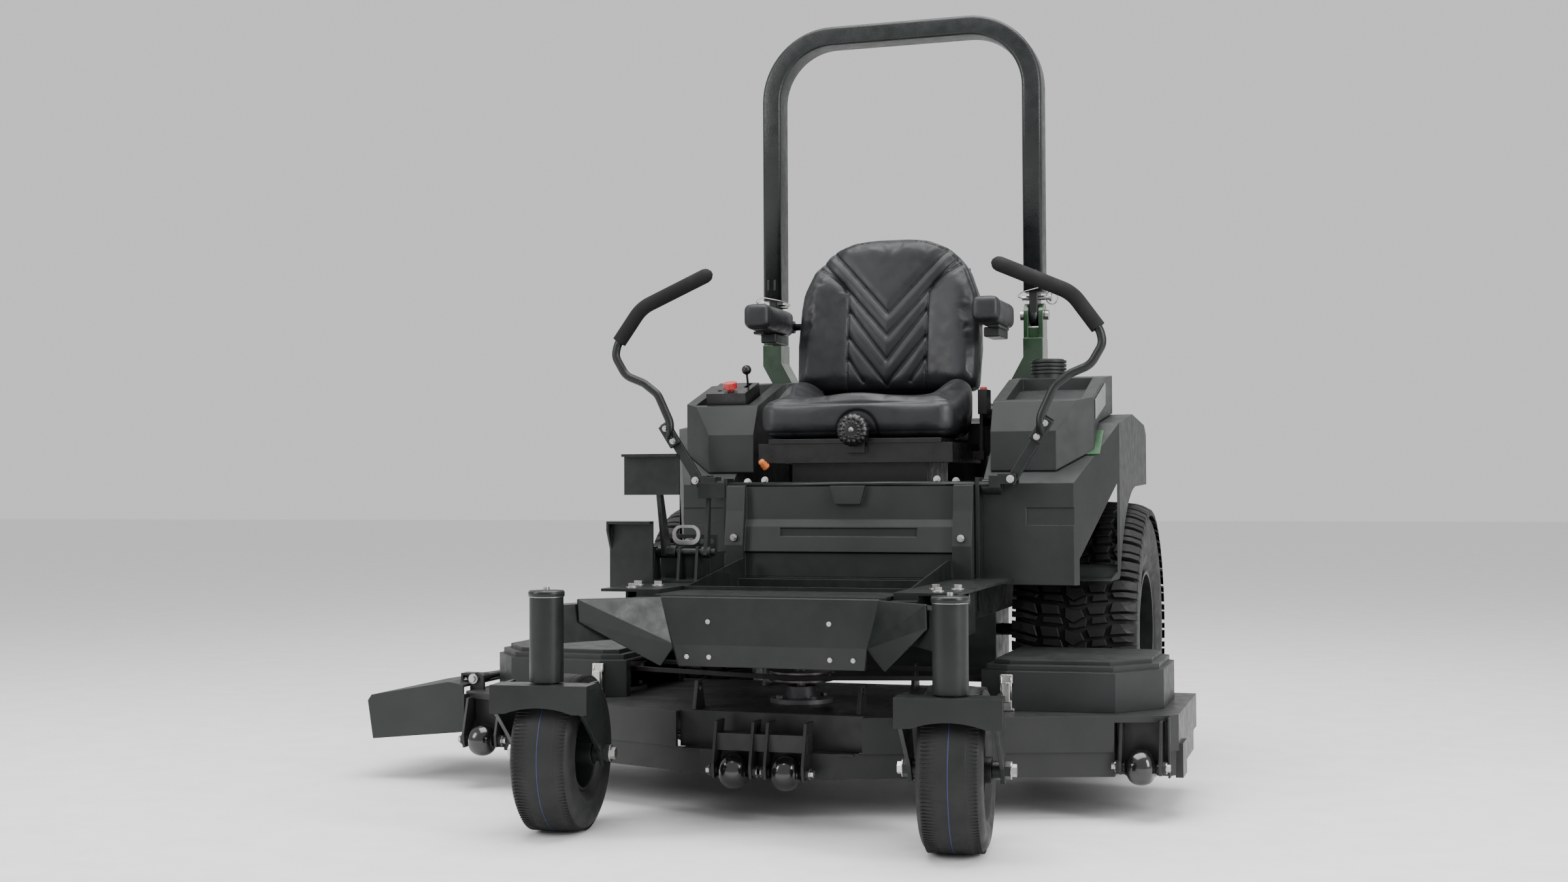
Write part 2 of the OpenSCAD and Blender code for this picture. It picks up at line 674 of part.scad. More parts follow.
module caster_fork(s) {
    caster_frame(s) {
        zrod(fork_top, barrel_z1 - 4, 0, 0, stem_r);
        // shoulder under the barrel
        zrod(fork_top - 2, barrel_z0 - part_gap, 0, 0, 24);
        difference() {
            union() {
                box(-fork_half - 8, fork_half + 8, -48, fork_back, fork_top - fork_plate_t, fork_top);
                // arched apron
                front_sheet(-54, -46) difference() {
                    translate([-fork_half - 8, fork_top - 56]) square([2 * fork_half + 16, 56]);
                    translate([0, fork_top - 250]) circle(r = 206, $fn = 96);
                }
                for (x = [-fork_half, fork_half - leg_t]) side_sheet(x, x + leg_t) polygon([
                    [-48, fork_top], [52, fork_top], [caster_trail + 24, caster_r + 8],
                    [caster_trail + 16, caster_r - 22], [caster_trail - 14, caster_r - 24],
                    [caster_trail - 30, caster_r + 6], [-48, fork_top - 58]]);
            }
            xrod(-120, 120, caster_trail, caster_r, caster_axle_r);
        }
    }
    // axle bolt with head, nut and spacers
    caster_frame(s) {
        xrod(-fork_half - 14, fork_half + 14, caster_trail, caster_r, caster_axle_r);
        for (x = [-fork_half - 12, fork_half]) translate([x, caster_trail, caster_r])
            rotate([0, 90, 0]) hex_head(17, 12);
        for (x = [-fork_half + leg_t, caster_tyre_w / 2 + 6])
            difference() {
                xrod(x, x + fork_half - leg_t - caster_tyre_w / 2 - 6, caster_trail, caster_r, 17);
                xrod(x - 1, x + fork_half, caster_trail, caster_r, caster_axle_r);
            }
    }
}

module caster_fork_left() color(frame_black) place() caster_fork(1);
module caster_fork_right() color(frame_black) place() caster_fork(-1);

// A tyre about the Z axis: width w, outside radius r, bead radius b
module tyre(w, r, b, shoulder) rotate_extrude($fn = 128) union() {
    h = w / 2;
    polygon([[b, -h + 14], [b + 6, -h + 5], [b + (r - b) * 0.45, -h], [r - shoulder, -h + 3],
        [r - 3, -h + shoulder], [r, -h * tread_flat], [r, h * tread_flat], [r - 3, h - shoulder],
        [r - shoulder, h - 3], [b + (r - b) * 0.45, h], [b + 6, h - 5], [b, h - 14]]);
}

module caster_hub(s) caster_frame(s) translate([0, caster_trail, caster_r]) rotate([0, 90, 0]) children();

module caster_tyre(s) caster_hub(s) tyre(caster_tyre_w, caster_r, rim_r, 20);

module caster_rim(s) caster_hub(s) difference() {
    h = caster_tyre_w / 2 - 14;
    union() {
        rotate_extrude() polygon([[rim_r - 6, -h], [rim_r, -h], [rim_r, h], [rim_r - 6, h]]);
        cylinder(h = 8, r = rim_r - 5, center = true);
        translate([0, 0, -caster_tyre_w / 2 - 5]) cylinder(h = caster_tyre_w + 10, r = 25);
    }
    cylinder(h = caster_tyre_w + 20, r = caster_axle_r + run_gap, center = true);
}

module caster_tyre_left() color(rubber_black) place() caster_tyre(1);
module caster_tyre_right() color(rubber_black) place() caster_tyre(-1);
module caster_rim_left() color(frame_black) place() caster_rim(1);
module caster_rim_right() color(frame_black) place() caster_rim(-1);

// ---------- drive wheels ----------
module drive_hub(s) on_side(s) translate([drive_x, axle_y, drive_r]) rotate([0, 90, 0]) children();

module drive_rim(s) drive_hub(s) difference() {
    h = drive_tyre_w / 2 - 14;
    union() {
        rotate_extrude($fn = 128) polygon([[drive_rim_r - 8, -h], [drive_rim_r, -h], [drive_rim_r, h],
            [drive_rim_r - 8, h]]);
        translate([0, 0, -8]) cylinder(h = 10, r = drive_rim_r - 6);
        translate([0, 0, -11]) cylinder(h = 60, r = 34);
        for (i = [0:4]) rotate([0, 0, 72 * i]) translate([58, 0, 2]) hex_head(13, 14);
    }
    translate([0, 0, -h]) cylinder(h = h + 30, r = axle_shaft_r + run_gap);
    for (i = [0:5]) rotate([0, 0, 60 * i + 30]) translate([104, 0, -20]) cylinder(h = 30, r = 20);
}

module drive_tyre(s) drive_hub(s) tyre(drive_tyre_w, drive_r, drive_rim_r, 34);

module drive_tyre_left() color(rubber_black) place() drive_tyre(1);
module drive_tyre_right() color(rubber_black) place() drive_tyre(-1);
module drive_rim_left() color(frame_black) place() drive_rim(1);
module drive_rim_right() color(frame_black) place() drive_rim(-1);

// ---------- lap bars ----------
module lever(s) on_side(s) {
    // bell crank: a boss on the cross pivot and a fork that carries the bar
    difference() {
        union() {
            xrod(bar_pivot[0] - 68, bar_pivot[0] - 24, bar_y, bar_pivot[1] - 18, 18);
            box(bar_pivot[0] - 50, bar_pivot[0] - 24, bar_y - 22, bar_y + 22, bar_pivot[1] - 20, bar_pivot[1] + 8);
            for (y = [bar_y - 22, bar_y + 14])
                box(bar_pivot[0] - 30, bar_pivot[0] + 12, y, y + 8, bar_pivot[1] - 12, bar_pivot[1] + 12);
        }
        xrod(bar_pivot[0] - 80, bar_pivot[0] - 20, bar_y, bar_pivot[1] - 18, stub_r + run_gap);
        yrod(bar_y - 30, bar_y + 30, bar_pivot[0], bar_pivot[1], 6);
    }
    yrod(bar_y - 22, bar_y + 22, bar_pivot[0], bar_pivot[1], 6);
}

module lap_bar(s) on_side(s) {
    a = bar_pivot;
    b = [461, 841];
    d = b - a;
    ang = atan2(d[0], d[1]);
    // flat lower arm
    difference() {
        translate([a[0], bar_y, a[1]]) rotate([0, ang, 0]) translate([-12, -7, -12]) cube([24, 14, norm(d) + 24]);
        yrod(bar_y - 20, bar_y + 20, a[0], a[1], 6 + run_gap);
    }
    // clamp bolts
    for (k = [0.8, 1.0]) translate([a[0] + d[0] * k, bar_y - 17, a[1] + d[1] * k])
        rotate([90, 0, 0]) cylinder(h = 8, r = 7);
    translate([a[0], bar_y, a[1]]) rotate([0, ang, 0]) translate([-14, -17, norm(d) - 40]) cube([28, 10, 50]);
    bent_tube(bar_path, bar_y - bar_offset, bar_d / 2);
}

module grip(s) on_side(s) bent_tube(grip_path, bar_y - bar_offset, grip_d / 2);

module lever_left() color(frame_black) place() { lever(1); }
module lever_right() color(frame_black) place() { lever(-1); }
module lap_bar_left() place() { color(frame_black) lap_bar(1); color(vinyl_black) grip(1); }
module lap_bar_right() place() { color(frame_black) lap_bar(-1); color(vinyl_black) grip(-1); }

// ---------- seat ----------
module suspension_base() color(engine_black) place() {
    difference() {
        union() {
            box(-195, 195, 830, 1110, susp_z0, susp_z0 + 28);
            // ribbed boot around the scissor links
            for (i = [0:2]) {
                inset = i % 2 * 4;
                box(-188 + inset, 188 - inset, 838 + inset, 1102 - inset,
                    susp_z0 + 28 + 10 * i, susp_z0 + 38 + 10 * i);
            }
        }
        box(-176, 176, 850, 1090, susp_z0 + 16, susp_z0 + 70);
    }
}

module seat_frame() color(engine_black) place() {
    // upper suspension plate and skirt
    box(-seat_w / 2 + 14, seat_w / 2 - 14, 815, 1140, 752, 798);
    box(-seat_w / 2 + 40, seat_w / 2 - 40, 812, 1150, 798, seat_z - seat_gap);
    box(-166, 166, 860, 1080, susp_z0 + 16 + seat_travel + 2, 752);
    // bracket of the weight knob
    difference() {
        box(-14, 30, seat_y0 - 2, seat_y0 + 3, 775, 845);
        yrod(seat_y0 - 5, seat_y0 + 5, knob_at[0], knob_at[1], knob_shaft_r + run_gap);
    }
    box(-14, 30, seat_y0 - 2, 816, 775, 790);
    // ears and rod that carry the backrest
    both() side_sheet(136, 144) polygon([[1120, 756], [1222, 780], [1222, 815], [1200, 815], [1120, 790]]);
    xrod(-170, 170, back_pivot[0], back_pivot[1], back_pivot_r);
    // belt buckle stalk on the left, retractor on the left behind
    box(seat_w / 2 + 4, seat_w / 2 + 12, 1040, 1070, 770, 880);
    difference() {
        box(seat_w / 2 + 2, seat_w / 2 + 24, 1030, 1082, 870, 930);
        box(seat_w / 2 + 6, seat_w / 2 + 20, 1036, 1056, 916, 935);
    }
    box(seat_w / 2 - 40, seat_w / 2 + 14, 1040, 1070, 760, 780);
    xrod(seat_w / 2 + 4, seat_w / 2 + 40, 1130, 870, 30);
    box(seat_w / 2 - 40, seat_w / 2 + 30, 1115, 1145, 770, 850);
}

module buckle_button() color(knob_red) place()
    box(seat_w / 2 + 6.4, seat_w / 2 + 19.6, 1036.4, 1055.6, 920, 936);

module seat_cushion() color(vinyl_black) place() {
    w = seat_w / 2;
    // deep front roll, lower middle and raised side bolsters
    hull() {
        for (x = [-w + 30, w - 30]) translate([x, seat_y0 + 30, seat_z + 24]) sphere(r = 24, $fn = 24);
        for (x = [-w + 40, w - 40]) translate([x, seat_y0 + 42, seat_z + 66]) sphere(r = 32, $fn = 24);
        for (x = [-w + 30, w - 30]) translate([x, seat_y1 - 30, seat_z + 24]) sphere(r = 24, $fn = 24);
        for (x = [-w + 40, w - 40]) translate([x, seat_y1 - 40, seat_z + 60]) sphere(r = 30, $fn = 24);
    }
    both() hull() {
        translate([w - 40, seat_y0 + 110, seat_z + 76]) sphere(r = 34, $fn = 24);
        translate([w - 40, seat_y1 - 50, seat_z + 108]) sphere(r = 36, $fn = 24);
        translate([w - 50, seat_y1 - 50, seat_z + 50]) sphere(r = 36, $fn = 24);
    }
}

module back_pad() translate([0, back_y, back_z]) rotate([-back_tilt, 0, 0]) {
    w = seat_w / 2 - 8;
    hull() {
        for (x = [-w + 40, w - 40]) translate([x, 0, 40]) sphere(r = 38, $fn = 24);
        for (x = [-w + 40, w - 40]) translate([x, 6, back_len * 0.55]) sphere(r = 38, $fn = 24);
        for (x = [-w + 125, w - 125]) translate([x, 8, back_len - 40]) sphere(r = 40, $fn = 24);
    }
}

module seat_back() color(vinyl_black) place() {
    back_pad();
    // steel arms down to the recline pivot, and the plate that carries the pad
    both() difference() {
        side_sheet(150, 158) polygon([[1192, 780], [1224, 780], [1262, 1010], [1238, 1010]]);
        xrod(140, 170, back_pivot[0], back_pivot[1], back_pivot_r + run_gap);
    }
    translate([0, back_y, back_z]) rotate([-back_tilt, 0, 0]) box(-200, 200, 36, 44, 30, 220);
    // cross bar of the armrests
    xrod(-arm_hinge[0] - 12, arm_hinge[0] + 12, arm_hinge[1], arm_hinge[2], arm_rod_r);
}

// Armrest: a padded pad that points forward from a hinge beside the backrest
module armrest(s) on_side(s) {
    y = arm_hinge[1];
    z = arm_hinge[2];
    side_sheet(arm_hinge[0] - 20, arm_hinge[0] + 56) translate([y - 150, z + 4]) rounded_rect(250, 62, 26);
    // steel bracket below the pad, with the hinge eye
    difference() {
        union() {
            side_sheet(arm_hinge[0] - 2, arm_hinge[0] + 8) polygon([[y - 60, z - 24], [y, z - 16],
                [y + 8, z + 14], [y, z + 16], [y - 60, z + 10]]);
            xrod(arm_hinge[0] - 10, arm_hinge[0] + 12, y, z, arm_rod_r + 7);
        }
        xrod(arm_hinge[0] - 30, arm_hinge[0] + 30, y, z, arm_rod_r + run_gap);
    }
}

module armrest_left() color(vinyl_black) place() armrest(1);
module armrest_right() color(vinyl_black) place() armrest(-1);

module weight_knob() color(engine_black) place() {
    x = knob_at[0];
    z = knob_at[1];
    yrod(seat_y0 - 34, seat_y0 - 8, x, z, knob_d / 2);
    yrod(seat_y0 - 40, seat_y0 - 34, x, z, knob_d / 2 - 10);
    yrod(seat_y0 - 8, seat_y0 + 2.5, x, z, knob_shaft_r);
}

// ---------- mower deck ----------
module deck_plan() {
    front = 150;
    polygon([for (p = [[front, deck_front_y], [deck_half - 16, deck_corner_y], [deck_half, deck_corner_y + 22],
        [deck_half, deck_back_y], [-deck_half, deck_back_y], [-deck_half, deck_corner_y + 22],
        [-deck_half + 16, deck_corner_y], [-front, deck_front_y]]) [p[0] + deck_mid, p[1]]]);
}

module deck_mirror(s) translate([deck_mid, 0, 0]) on_side(s) children();

module roller_bracket(w, y, z) {
    for (x = [-w / 2 - 6, w / 2]) side_sheet(x, x + 6) polygon([[y - 16, z - 14], [y + 16, z - 14],
        [y + 52, deck_top - 10], [y + 4, deck_top - 10], [y - 20, z + 14]]);
}

module roller_bolt(w, y, z) {
    xrod(-w / 2 - 6, w / 2 + 6, y, z, roller_bolt_r);
    for (x = [-w / 2 - 15, w / 2 + 6]) translate([x, y, z]) rotate([0, 90, 0]) hex_head(13, 9);
}

module deck_shell() color(deck_black) place() {
    difference() {
        union() {
            translate([0, 0, deck_z + band_h]) linear_extrude(deck_h - band_h) deck_plan();
            translate([0, 0, deck_z]) linear_extrude(band_h) offset(delta = -6) deck_plan();
            // skid shoe on the left corner
            deck_mirror(1) box(deck_half - 8, deck_half + 8, deck_corner_y + 30, deck_corner_y + 110,
                deck_z - 6, deck_z + 66);
        }
        translate([0, 0, deck_z - 10]) linear_extrude(deck_h + 10 - deck_wall)
            offset(delta = -6 - deck_wall) deck_plan();
        // stepped-back middle of the upper front wall
        deck_mirror(1) box(-206, 206, deck_front_y - 20, deck_front_y + step_back, deck_z + band_h, deck_top + 1);
        // roller pockets in both front corners
        for (s = [-1, 1]) deck_mirror(s)
            box(corner_x - notch_w / 2, corner_x + notch_w / 2, pocket_y - 160, pocket_y,
                deck_z - 1, deck_top - 14);
        // discharge opening
        deck_mirror(-1) box(deck_half - 30, deck_half + 1, deck_corner_y + 60, deck_back_y - 40,
            deck_z - 1, deck_top - deck_wall - 6);
        // spindle holes
        for (p = spindles) zrod(deck_top - 20, deck_top + 1, p[0], p[1], 40);
    }
    // walls of the stepped middle and of the pockets
    deck_mirror(1) box(-208, 208, deck_front_y + step_back - 1, deck_front_y + step_back + 4,
        deck_z + band_h - 2, deck_top - 1);
    deck_mirror(1) box(-190, 190, deck_front_y + 9, deck_front_y + step_back + 2,
        deck_z + band_h - 4, deck_z + band_h);
    for (s = [-1, 1]) deck_mirror(s) {
        box(corner_x - notch_w / 2 - 4, corner_x + notch_w / 2 + 4, pocket_y, pocket_y + 4, deck_z, deck_top - 3);
        for (x = [corner_x - notch_w / 2 - 4, corner_x + notch_w / 2])
            box(x, x + 4, pocket_y - 30, pocket_y + 2, deck_z, deck_top - 3);
    }
    // brackets and bolts of the anti-scalp rollers
    for (s = [-1, 1]) deck_mirror(s) {
        translate([corner_x, 0, 0]) {
            roller_bracket(roller_w + 8, corner_y, corner_z);
            roller_bolt(roller_w + 8, corner_y, corner_z);
        }
        translate([57, 0, 0]) {
            roller_bracket(roller_w + 8, roller_y, roller_z);
            roller_bolt(roller_w + 8, roller_y, roller_z);
        }
    }
    deck_mirror(1) box(-102, 102, roller_y + 4, deck_front_y + 10, roller_z + roller_r + 4,
        deck_z + band_h + 40);
    // hinge ears of the chute
    for (y = [chute_y0 + 30, chute_y1 - 50]) deck_mirror(-1) difference() {
        front_sheet(y, y + 8) polygon([[deck_half - 32, deck_top - 1], [deck_half + 4, deck_top - 1],
            [deck_half + 4, deck_top + 30], [deck_half - 14, deck_top + 42], [deck_half - 32, deck_top + 34]]);
        yrod(y - 1, y + 9, deck_half - 14, deck_top + 26, chute_rod_r + run_gap);
    }
    // lift ears where the deck hangs
    for (s = [-1, 1]) for (y = [deck_front_y + 100, deck_back_y - 80]) deck_mirror(s) difference() {
        side_sheet(180, 188) polygon([[y - 30, deck_top - 1], [y + 30, deck_top - 1],
            [y + 12, deck_top + 60], [y - 12, deck_top + 60]]);
        xrod(170, 200, y, deck_top + 44, 8);
    }
}

spindles = [for (i = [-1:1]) [deck_mid + i * spindle_pitch, i == 0 ? spindle_front_y : spindle_side_y]];

module deck_spindles() color(cast_grey) place() for (p = spindles) translate([p[0], p[1], 0]) difference() {
    union() {
        translate([0, 0, deck_top]) cylinder(h = 10, r = 70);
        translate([0, 0, deck_top - 30]) cylinder(h = 66, r = 32);
        for (a = [0:90:270]) rotate([0, 0, a + 45]) translate([56, 0, deck_top + 10]) hex_head(8, 7);
    }
    translate([0, 0, deck_top - 60]) cylinder(h = 120, r = shaft_r + run_gap);
}

module blade(i) place() translate([spindles[i][0], spindles[i][1], 0]) {
    // shaft, washer, bolt and pulley
    color(zinc) {
        translate([0, 0, blade_z]) cylinder(h = deck_top + 76 - blade_z, r = shaft_r);
        translate([0, 0, blade_z - 12]) cylinder(h = 12, r = 20);
        translate([0, 0, blade_z + 8]) cylinder(h = 20, r = 22);
    }
    color(engine_black) difference() {
        translate([0, 0, deck_top + 48]) cylinder(h = 22, r = 72);
        translate([0, 0, deck_top + 47]) cylinder(h = 24, r = shaft_r);
        translate([0, 0, deck_top + 53]) difference() {
            cylinder(h = 12, r = 80);
            translate([0, 0, -1]) cylinder(h = 14, r = 64);
        }
    }
    color(cast_grey) difference() {
        rotate([0, 0, 90]) union() {
            translate([-blade_len / 2 + 40, -30, blade_z]) cube([blade_len - 80, 60, 6]);
            for (a = [0, 180]) rotate([0, 0, a]) {
                translate([blade_len / 2 - 42, -30, blade_z]) cube([38, 60, 6]);
                translate([blade_len / 2 - 110, 12, blade_z + 3]) rotate([28, 0, 0]) cube([100, 26, 5]);
            }
        }
        translate([0, 0, blade_z - 1]) cylinder(h = 20, r = shaft_r);
    }
}

module blade_left() blade(2);
module blade_center() blade(1);
module blade_right() blade(0);

module deck_belt() color(rubber_black) place() {
    r = 64 + part_gap;
    z0 = deck_top + 54;
    translate([0, 0, z0]) linear_extrude(10) difference() {
        hull() for (p = spindles) translate(p) circle(r = r + 7);
        hull() for (p = spindles) translate(p) circle(r = r);
    }
}

module cover_plan(inset) offset(delta = -inset) polygon([[cover_x0, pocket_y], [cover_x0 + 58, pocket_y - 20],
    [700, pocket_y - 4], [deck_half - 40, pocket_y + 110], [deck_half - 40, deck_back_y - 90],
    [deck_half - 72, deck_back_y - 55], [cover_x0, deck_back_y - 55]]);

module belt_cover(s) deck_mirror(s) {
    difference() {
        union() {
            translate([0, 0, deck_top]) linear_extrude(cover_h - 22) cover_plan(0);
            translate([0, 0, deck_top + cover_h - 22]) linear_extrude(12) cover_plan(10);
            translate([0, 0, deck_top + cover_h - 10]) linear_extrude(10) cover_plan(26);
        }
        translate([0, 0, deck_top - 1]) linear_extrude(cover_h - 24) cover_plan(5);
        translate([0, 0, deck_top + cover_h - 26]) linear_extrude(12) cover_plan(24);
        // way in for the belt
        box(cover_x0 - 10, cover_x0 + 8, spindle_side_y - 134, deck_back_y - 80, deck_top - 1, deck_top + 78);
    }
}

module belt_cover_left() color(plastic_grey) place() belt_cover(1);
module belt_cover_right() color(plastic_grey) place() belt_cover(-1);

chute_y0 = deck_corner_y + 20;
chute_y1 = deck_back_y - 30;
module chute() color(plastic_grey) place() deck_mirror(-1) {
    x0 = deck_half + 6;
    x1 = deck_half + chute_reach;
    difference() {
        front_sheet(chute_y0, chute_y1) polygon([[x0, deck_top + 14], [x0 + 40, deck_top + 20], [x1 - 10, deck_top - 16],
            [x1, deck_top - 30], [x1 - 14, deck_z + 6], [x0, deck_z + 30]]);
        front_sheet(chute_y0 + 5, chute_y1 + 1) polygon([[x0 - 1, deck_top + 8], [x0 + 40, deck_top + 14],
            [x1 - 12, deck_top - 21], [x1 - 5, deck_top - 32], [x1 - 19, deck_z], [x0 - 1, deck_z]]);
    }
    // hinge knuckles and rod
    for (y = [chute_y0 + 44, chute_y1 - 90]) {
        yrod(y, y + 34, deck_half - 14, deck_top + 26, 12);
        box(deck_half - 14, x0 + 30, y + 1, y + 33, deck_top + 31, deck_top + 37);
        box(x0 + 24, x0 + 30, y + 1, y + 33, deck_top + 14, deck_top + 37);
    }
    yrod(chute_y0 + 26, chute_y1 - 38, deck_half - 14, deck_top + 26, chute_rod_r);
}

module roller(x, y, z) color(rubber_black) place() translate([x, y, z]) rotate([0, 90, 0]) difference() {
    rotate_extrude() polygon([[0, -roller_w / 2 + 2], [roller_r - 14, -roller_w / 2 + 2],
        [roller_r - 4, -roller_w / 2 + 10], [roller_r, -10], [roller_r, 10],
        [roller_r - 4, roller_w / 2 - 10], [roller_r - 14, roller_w / 2 - 2], [0, roller_w / 2 - 2]]);
    cylinder(h = roller_w + 10, r = roller_bolt_r + run_gap, center = true);
}

module roller_left() roller(deck_mid + corner_x, corner_y, corner_z);
module roller_center_left() roller(deck_mid + 57, roller_y, roller_z);
module roller_center_right() roller(deck_mid - 57, roller_y, roller_z);
module roller_right() roller(deck_mid - corner_x, corner_y, corner_z);

// ---------- pedals ----------
module lift_pedal() color(frame_black) place() {
    x = -343;
    difference() {
        union() {
            side_sheet(x, x + 10) polygon([[pedal_axis[0] - 16, pedal_axis[1] - 8],
                [pedal_axis[0] + 16, pedal_axis[1] - 8], [pedal_axis[0] + 12, 570], [434, 700],
                [434, 766], [420, 766], [420, 690]]);
            xrod(x - 12, x + 30, pedal_axis[0], pedal_axis[1], 14);
        }
        xrod(x - 20, x + 60, pedal_axis[0], pedal_axis[1], pedal_shaft_r + run_gap);
    }
    box(-415, -286, 412, 420, 680, 768);
    box(-415, -286, 396, 420, 764, 770);
}

module latch_pedal() color(frame_black) place() {
    difference() {
        union() {
            side_sheet(-246, -238) polygon([[pedal_axis[0] - 14, pedal_axis[1] - 6],
                [pedal_axis[0] + 14, pedal_axis[1] - 6], [pedal_axis[0] + 12, 580], [488, 690], [478, 690],
                [476, 672]]);
            xrod(-252, -232, pedal_axis[0], pedal_axis[1], 13);
        }
        xrod(-260, -220, pedal_axis[0], pedal_axis[1], pedal_shaft_r + run_gap);
    }
    box(-262, -200, 468, 478, 672, 706);
}

main_frame();
front_fairing();
floor_pan();
seat_riser();
fender_left();
fender_right();
pod_left();
pod_right();
control_panel();
rops_uprights();
engine_block();
engine_shroud();
muffler();
rear_bumper();
transaxles();
foot_step();
height_selector();
frame_fasteners();
suspension_base();
rops_hoop();
rops_pins();
caster_fork_left();
caster_fork_right();
caster_tyre_left();
caster_tyre_right();
caster_rim_left();
caster_rim_right();
drive_tyre_left();
drive_tyre_right();
drive_rim_left();
drive_rim_right();
lever_left();
lever_right();
lap_bar_left();
lap_bar_right();
seat_frame();
seat_cushion();
seat_back();
armrest_left();
armrest_right();
weight_knob();
buckle_button();
deck_shell();
belt_cover_left();
belt_cover_right();
deck_spindles();
deck_belt();
blade_left();
blade_center();
blade_right();
chute();
roller_left();
roller_center_left();
roller_center_right();
roller_right();
lift_pedal();
latch_pedal();
height_pin();
pto_knob();
throttle_lever();
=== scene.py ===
import json
import math

import bmesh
import bpy
from mathutils import Matrix, Vector


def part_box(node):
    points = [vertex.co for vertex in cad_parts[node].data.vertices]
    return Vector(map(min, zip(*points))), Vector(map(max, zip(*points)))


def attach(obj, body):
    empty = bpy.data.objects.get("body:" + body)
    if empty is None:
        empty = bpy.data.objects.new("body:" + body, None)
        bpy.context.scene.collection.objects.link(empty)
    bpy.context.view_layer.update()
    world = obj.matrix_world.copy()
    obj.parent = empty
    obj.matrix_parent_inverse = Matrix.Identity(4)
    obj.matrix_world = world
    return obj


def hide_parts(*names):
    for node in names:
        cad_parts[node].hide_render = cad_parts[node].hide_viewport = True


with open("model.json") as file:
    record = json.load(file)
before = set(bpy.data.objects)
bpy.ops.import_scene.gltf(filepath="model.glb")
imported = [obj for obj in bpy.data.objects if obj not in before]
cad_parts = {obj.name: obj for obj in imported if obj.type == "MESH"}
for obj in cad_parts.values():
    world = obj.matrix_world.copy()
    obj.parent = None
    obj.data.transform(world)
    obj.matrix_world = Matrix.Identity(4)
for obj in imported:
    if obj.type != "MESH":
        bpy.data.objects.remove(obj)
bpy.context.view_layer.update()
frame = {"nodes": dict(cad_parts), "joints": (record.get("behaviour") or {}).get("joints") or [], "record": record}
nodes = frame["nodes"]

# ---------- the machine's own datum, from the frame ----------
BARREL_R = 0.034
frame_low, frame_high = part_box("main_frame")
CENTRE_X = (frame_low[0] + frame_high[0]) / 2      # centre plane of the machine
PIVOT_Y = frame_low[1] + BARREL_R                  # plane through both caster pivots
MM = 0.001


def at(x, y, z):
    """A point given in mm: sideways from the centre plane, back from the caster pivots, up."""
    return Vector((CENTRE_X + x * MM, PIVOT_Y + y * MM, z * MM))


def middle(node):
    low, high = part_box(node)
    return (Vector(low) + Vector(high)) / 2


def span(node):
    low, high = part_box(node)
    return Vector(high) - Vector(low)


# ---------- materials ----------
def finish(name, low, high, rough, metal=0.0, grain=900.0, depth=0.0004, mottle=9.0, edge=0.0015,
           edge_highlight=0.0, coat=0.0, dust=0.0, rough_spread=0.08, shine=0.5):
    """A surface whose colour drifts from low to high, with a fine grain and soft edges that carry a painted
    highlight.
    """
    mat = bpy.data.materials.new(name)
    mat.use_nodes = True
    tree = mat.node_tree
    link = tree.links.new
    new = tree.nodes.new
    shader = tree.nodes["Principled BSDF"]
    shader.inputs["Metallic"].default_value = metal
    shader.inputs["Coat Weight"].default_value = coat
    shader.inputs["Coat Roughness"].default_value = 0.12
    shader.inputs["Specular IOR Level"].default_value = shine
    place = new("ShaderNodeTexCoord")

    def noise_of(scale, detail=3.0):
        node = new("ShaderNodeTexNoise")
        node.inputs["Scale"].default_value = scale
        node.inputs["Detail"].default_value = detail
        link(place.outputs["Object"], node.inputs["Vector"])
        return node.outputs["Fac"]

    def spread(value, from_low, from_high, to_low, to_high):
        node = new("ShaderNodeMapRange")
        node.inputs["From Min"].default_value = from_low
        node.inputs["From Max"].default_value = from_high
        node.inputs["To Min"].default_value = to_low
        node.inputs["To Max"].default_value = to_high
        link(value, node.inputs["Value"])
        return node.outputs["Result"]

    def blend(factor, first, second):
        node = new("ShaderNodeMix")
        node.data_type = "RGBA"
        link(factor, node.inputs["Factor"])
        for socket, value in ((node.inputs[6], first), (node.inputs[7], second)):
            if isinstance(value, tuple):
                socket.default_value = (*value, 1.0)
            else:
                link(value, socket)
        return node.outputs[2]

    clouds = noise_of(mottle)
    colour = blend(spread(clouds, 0.3, 0.7, 0.0, 1.0), low, high)
    fine = noise_of(grain, 2.0)
    if dust:
        geometry = new("ShaderNodeNewGeometry")
        split = new("ShaderNodeSeparateXYZ")
        link(geometry.outputs["Normal"], split.inputs["Vector"])
        top = spread(split.outputs["Z"], 0.3, 1.0, 0.0, dust)
        colour = blend(top, colour, tuple(0.5 * c + 0.06 for c in high))
    soft = new("ShaderNodeBevel")
    soft.samples = 4
    soft.inputs["Radius"].default_value = edge
    # painted highlight: the colour is lightened along the edges, where the rounded normal turns away from the flat
    # one
    if edge_highlight:
        corner = new("ShaderNodeNewGeometry")
        facing = new("ShaderNodeVectorMath")
        facing.operation = "DOT_PRODUCT"
        link(soft.outputs["Normal"], facing.inputs[0])
        link(corner.outputs["Normal"], facing.inputs[1])
        edge_highlight_mask = spread(facing.outputs["Value"], 0.93, 0.72, 0.0, edge_highlight)
        colour = blend(edge_highlight_mask, colour, tuple(min(1.0, 2.2 * c + 0.02) for c in high))
    link(colour, shader.inputs["Base Color"])
    link(spread(noise_of(mottle * 4), 0.3, 0.7, rough - rough_spread, rough + rough_spread),
         shader.inputs["Roughness"])
    bump = new("ShaderNodeBump")
    bump.inputs["Distance"].default_value = depth
    bump.inputs["Strength"].default_value = 0.6
    link(fine, bump.inputs["Height"])
    link(soft.outputs["Normal"], bump.inputs["Normal"])
    link(bump.outputs["Normal"], shader.inputs["Normal"])
    return mat


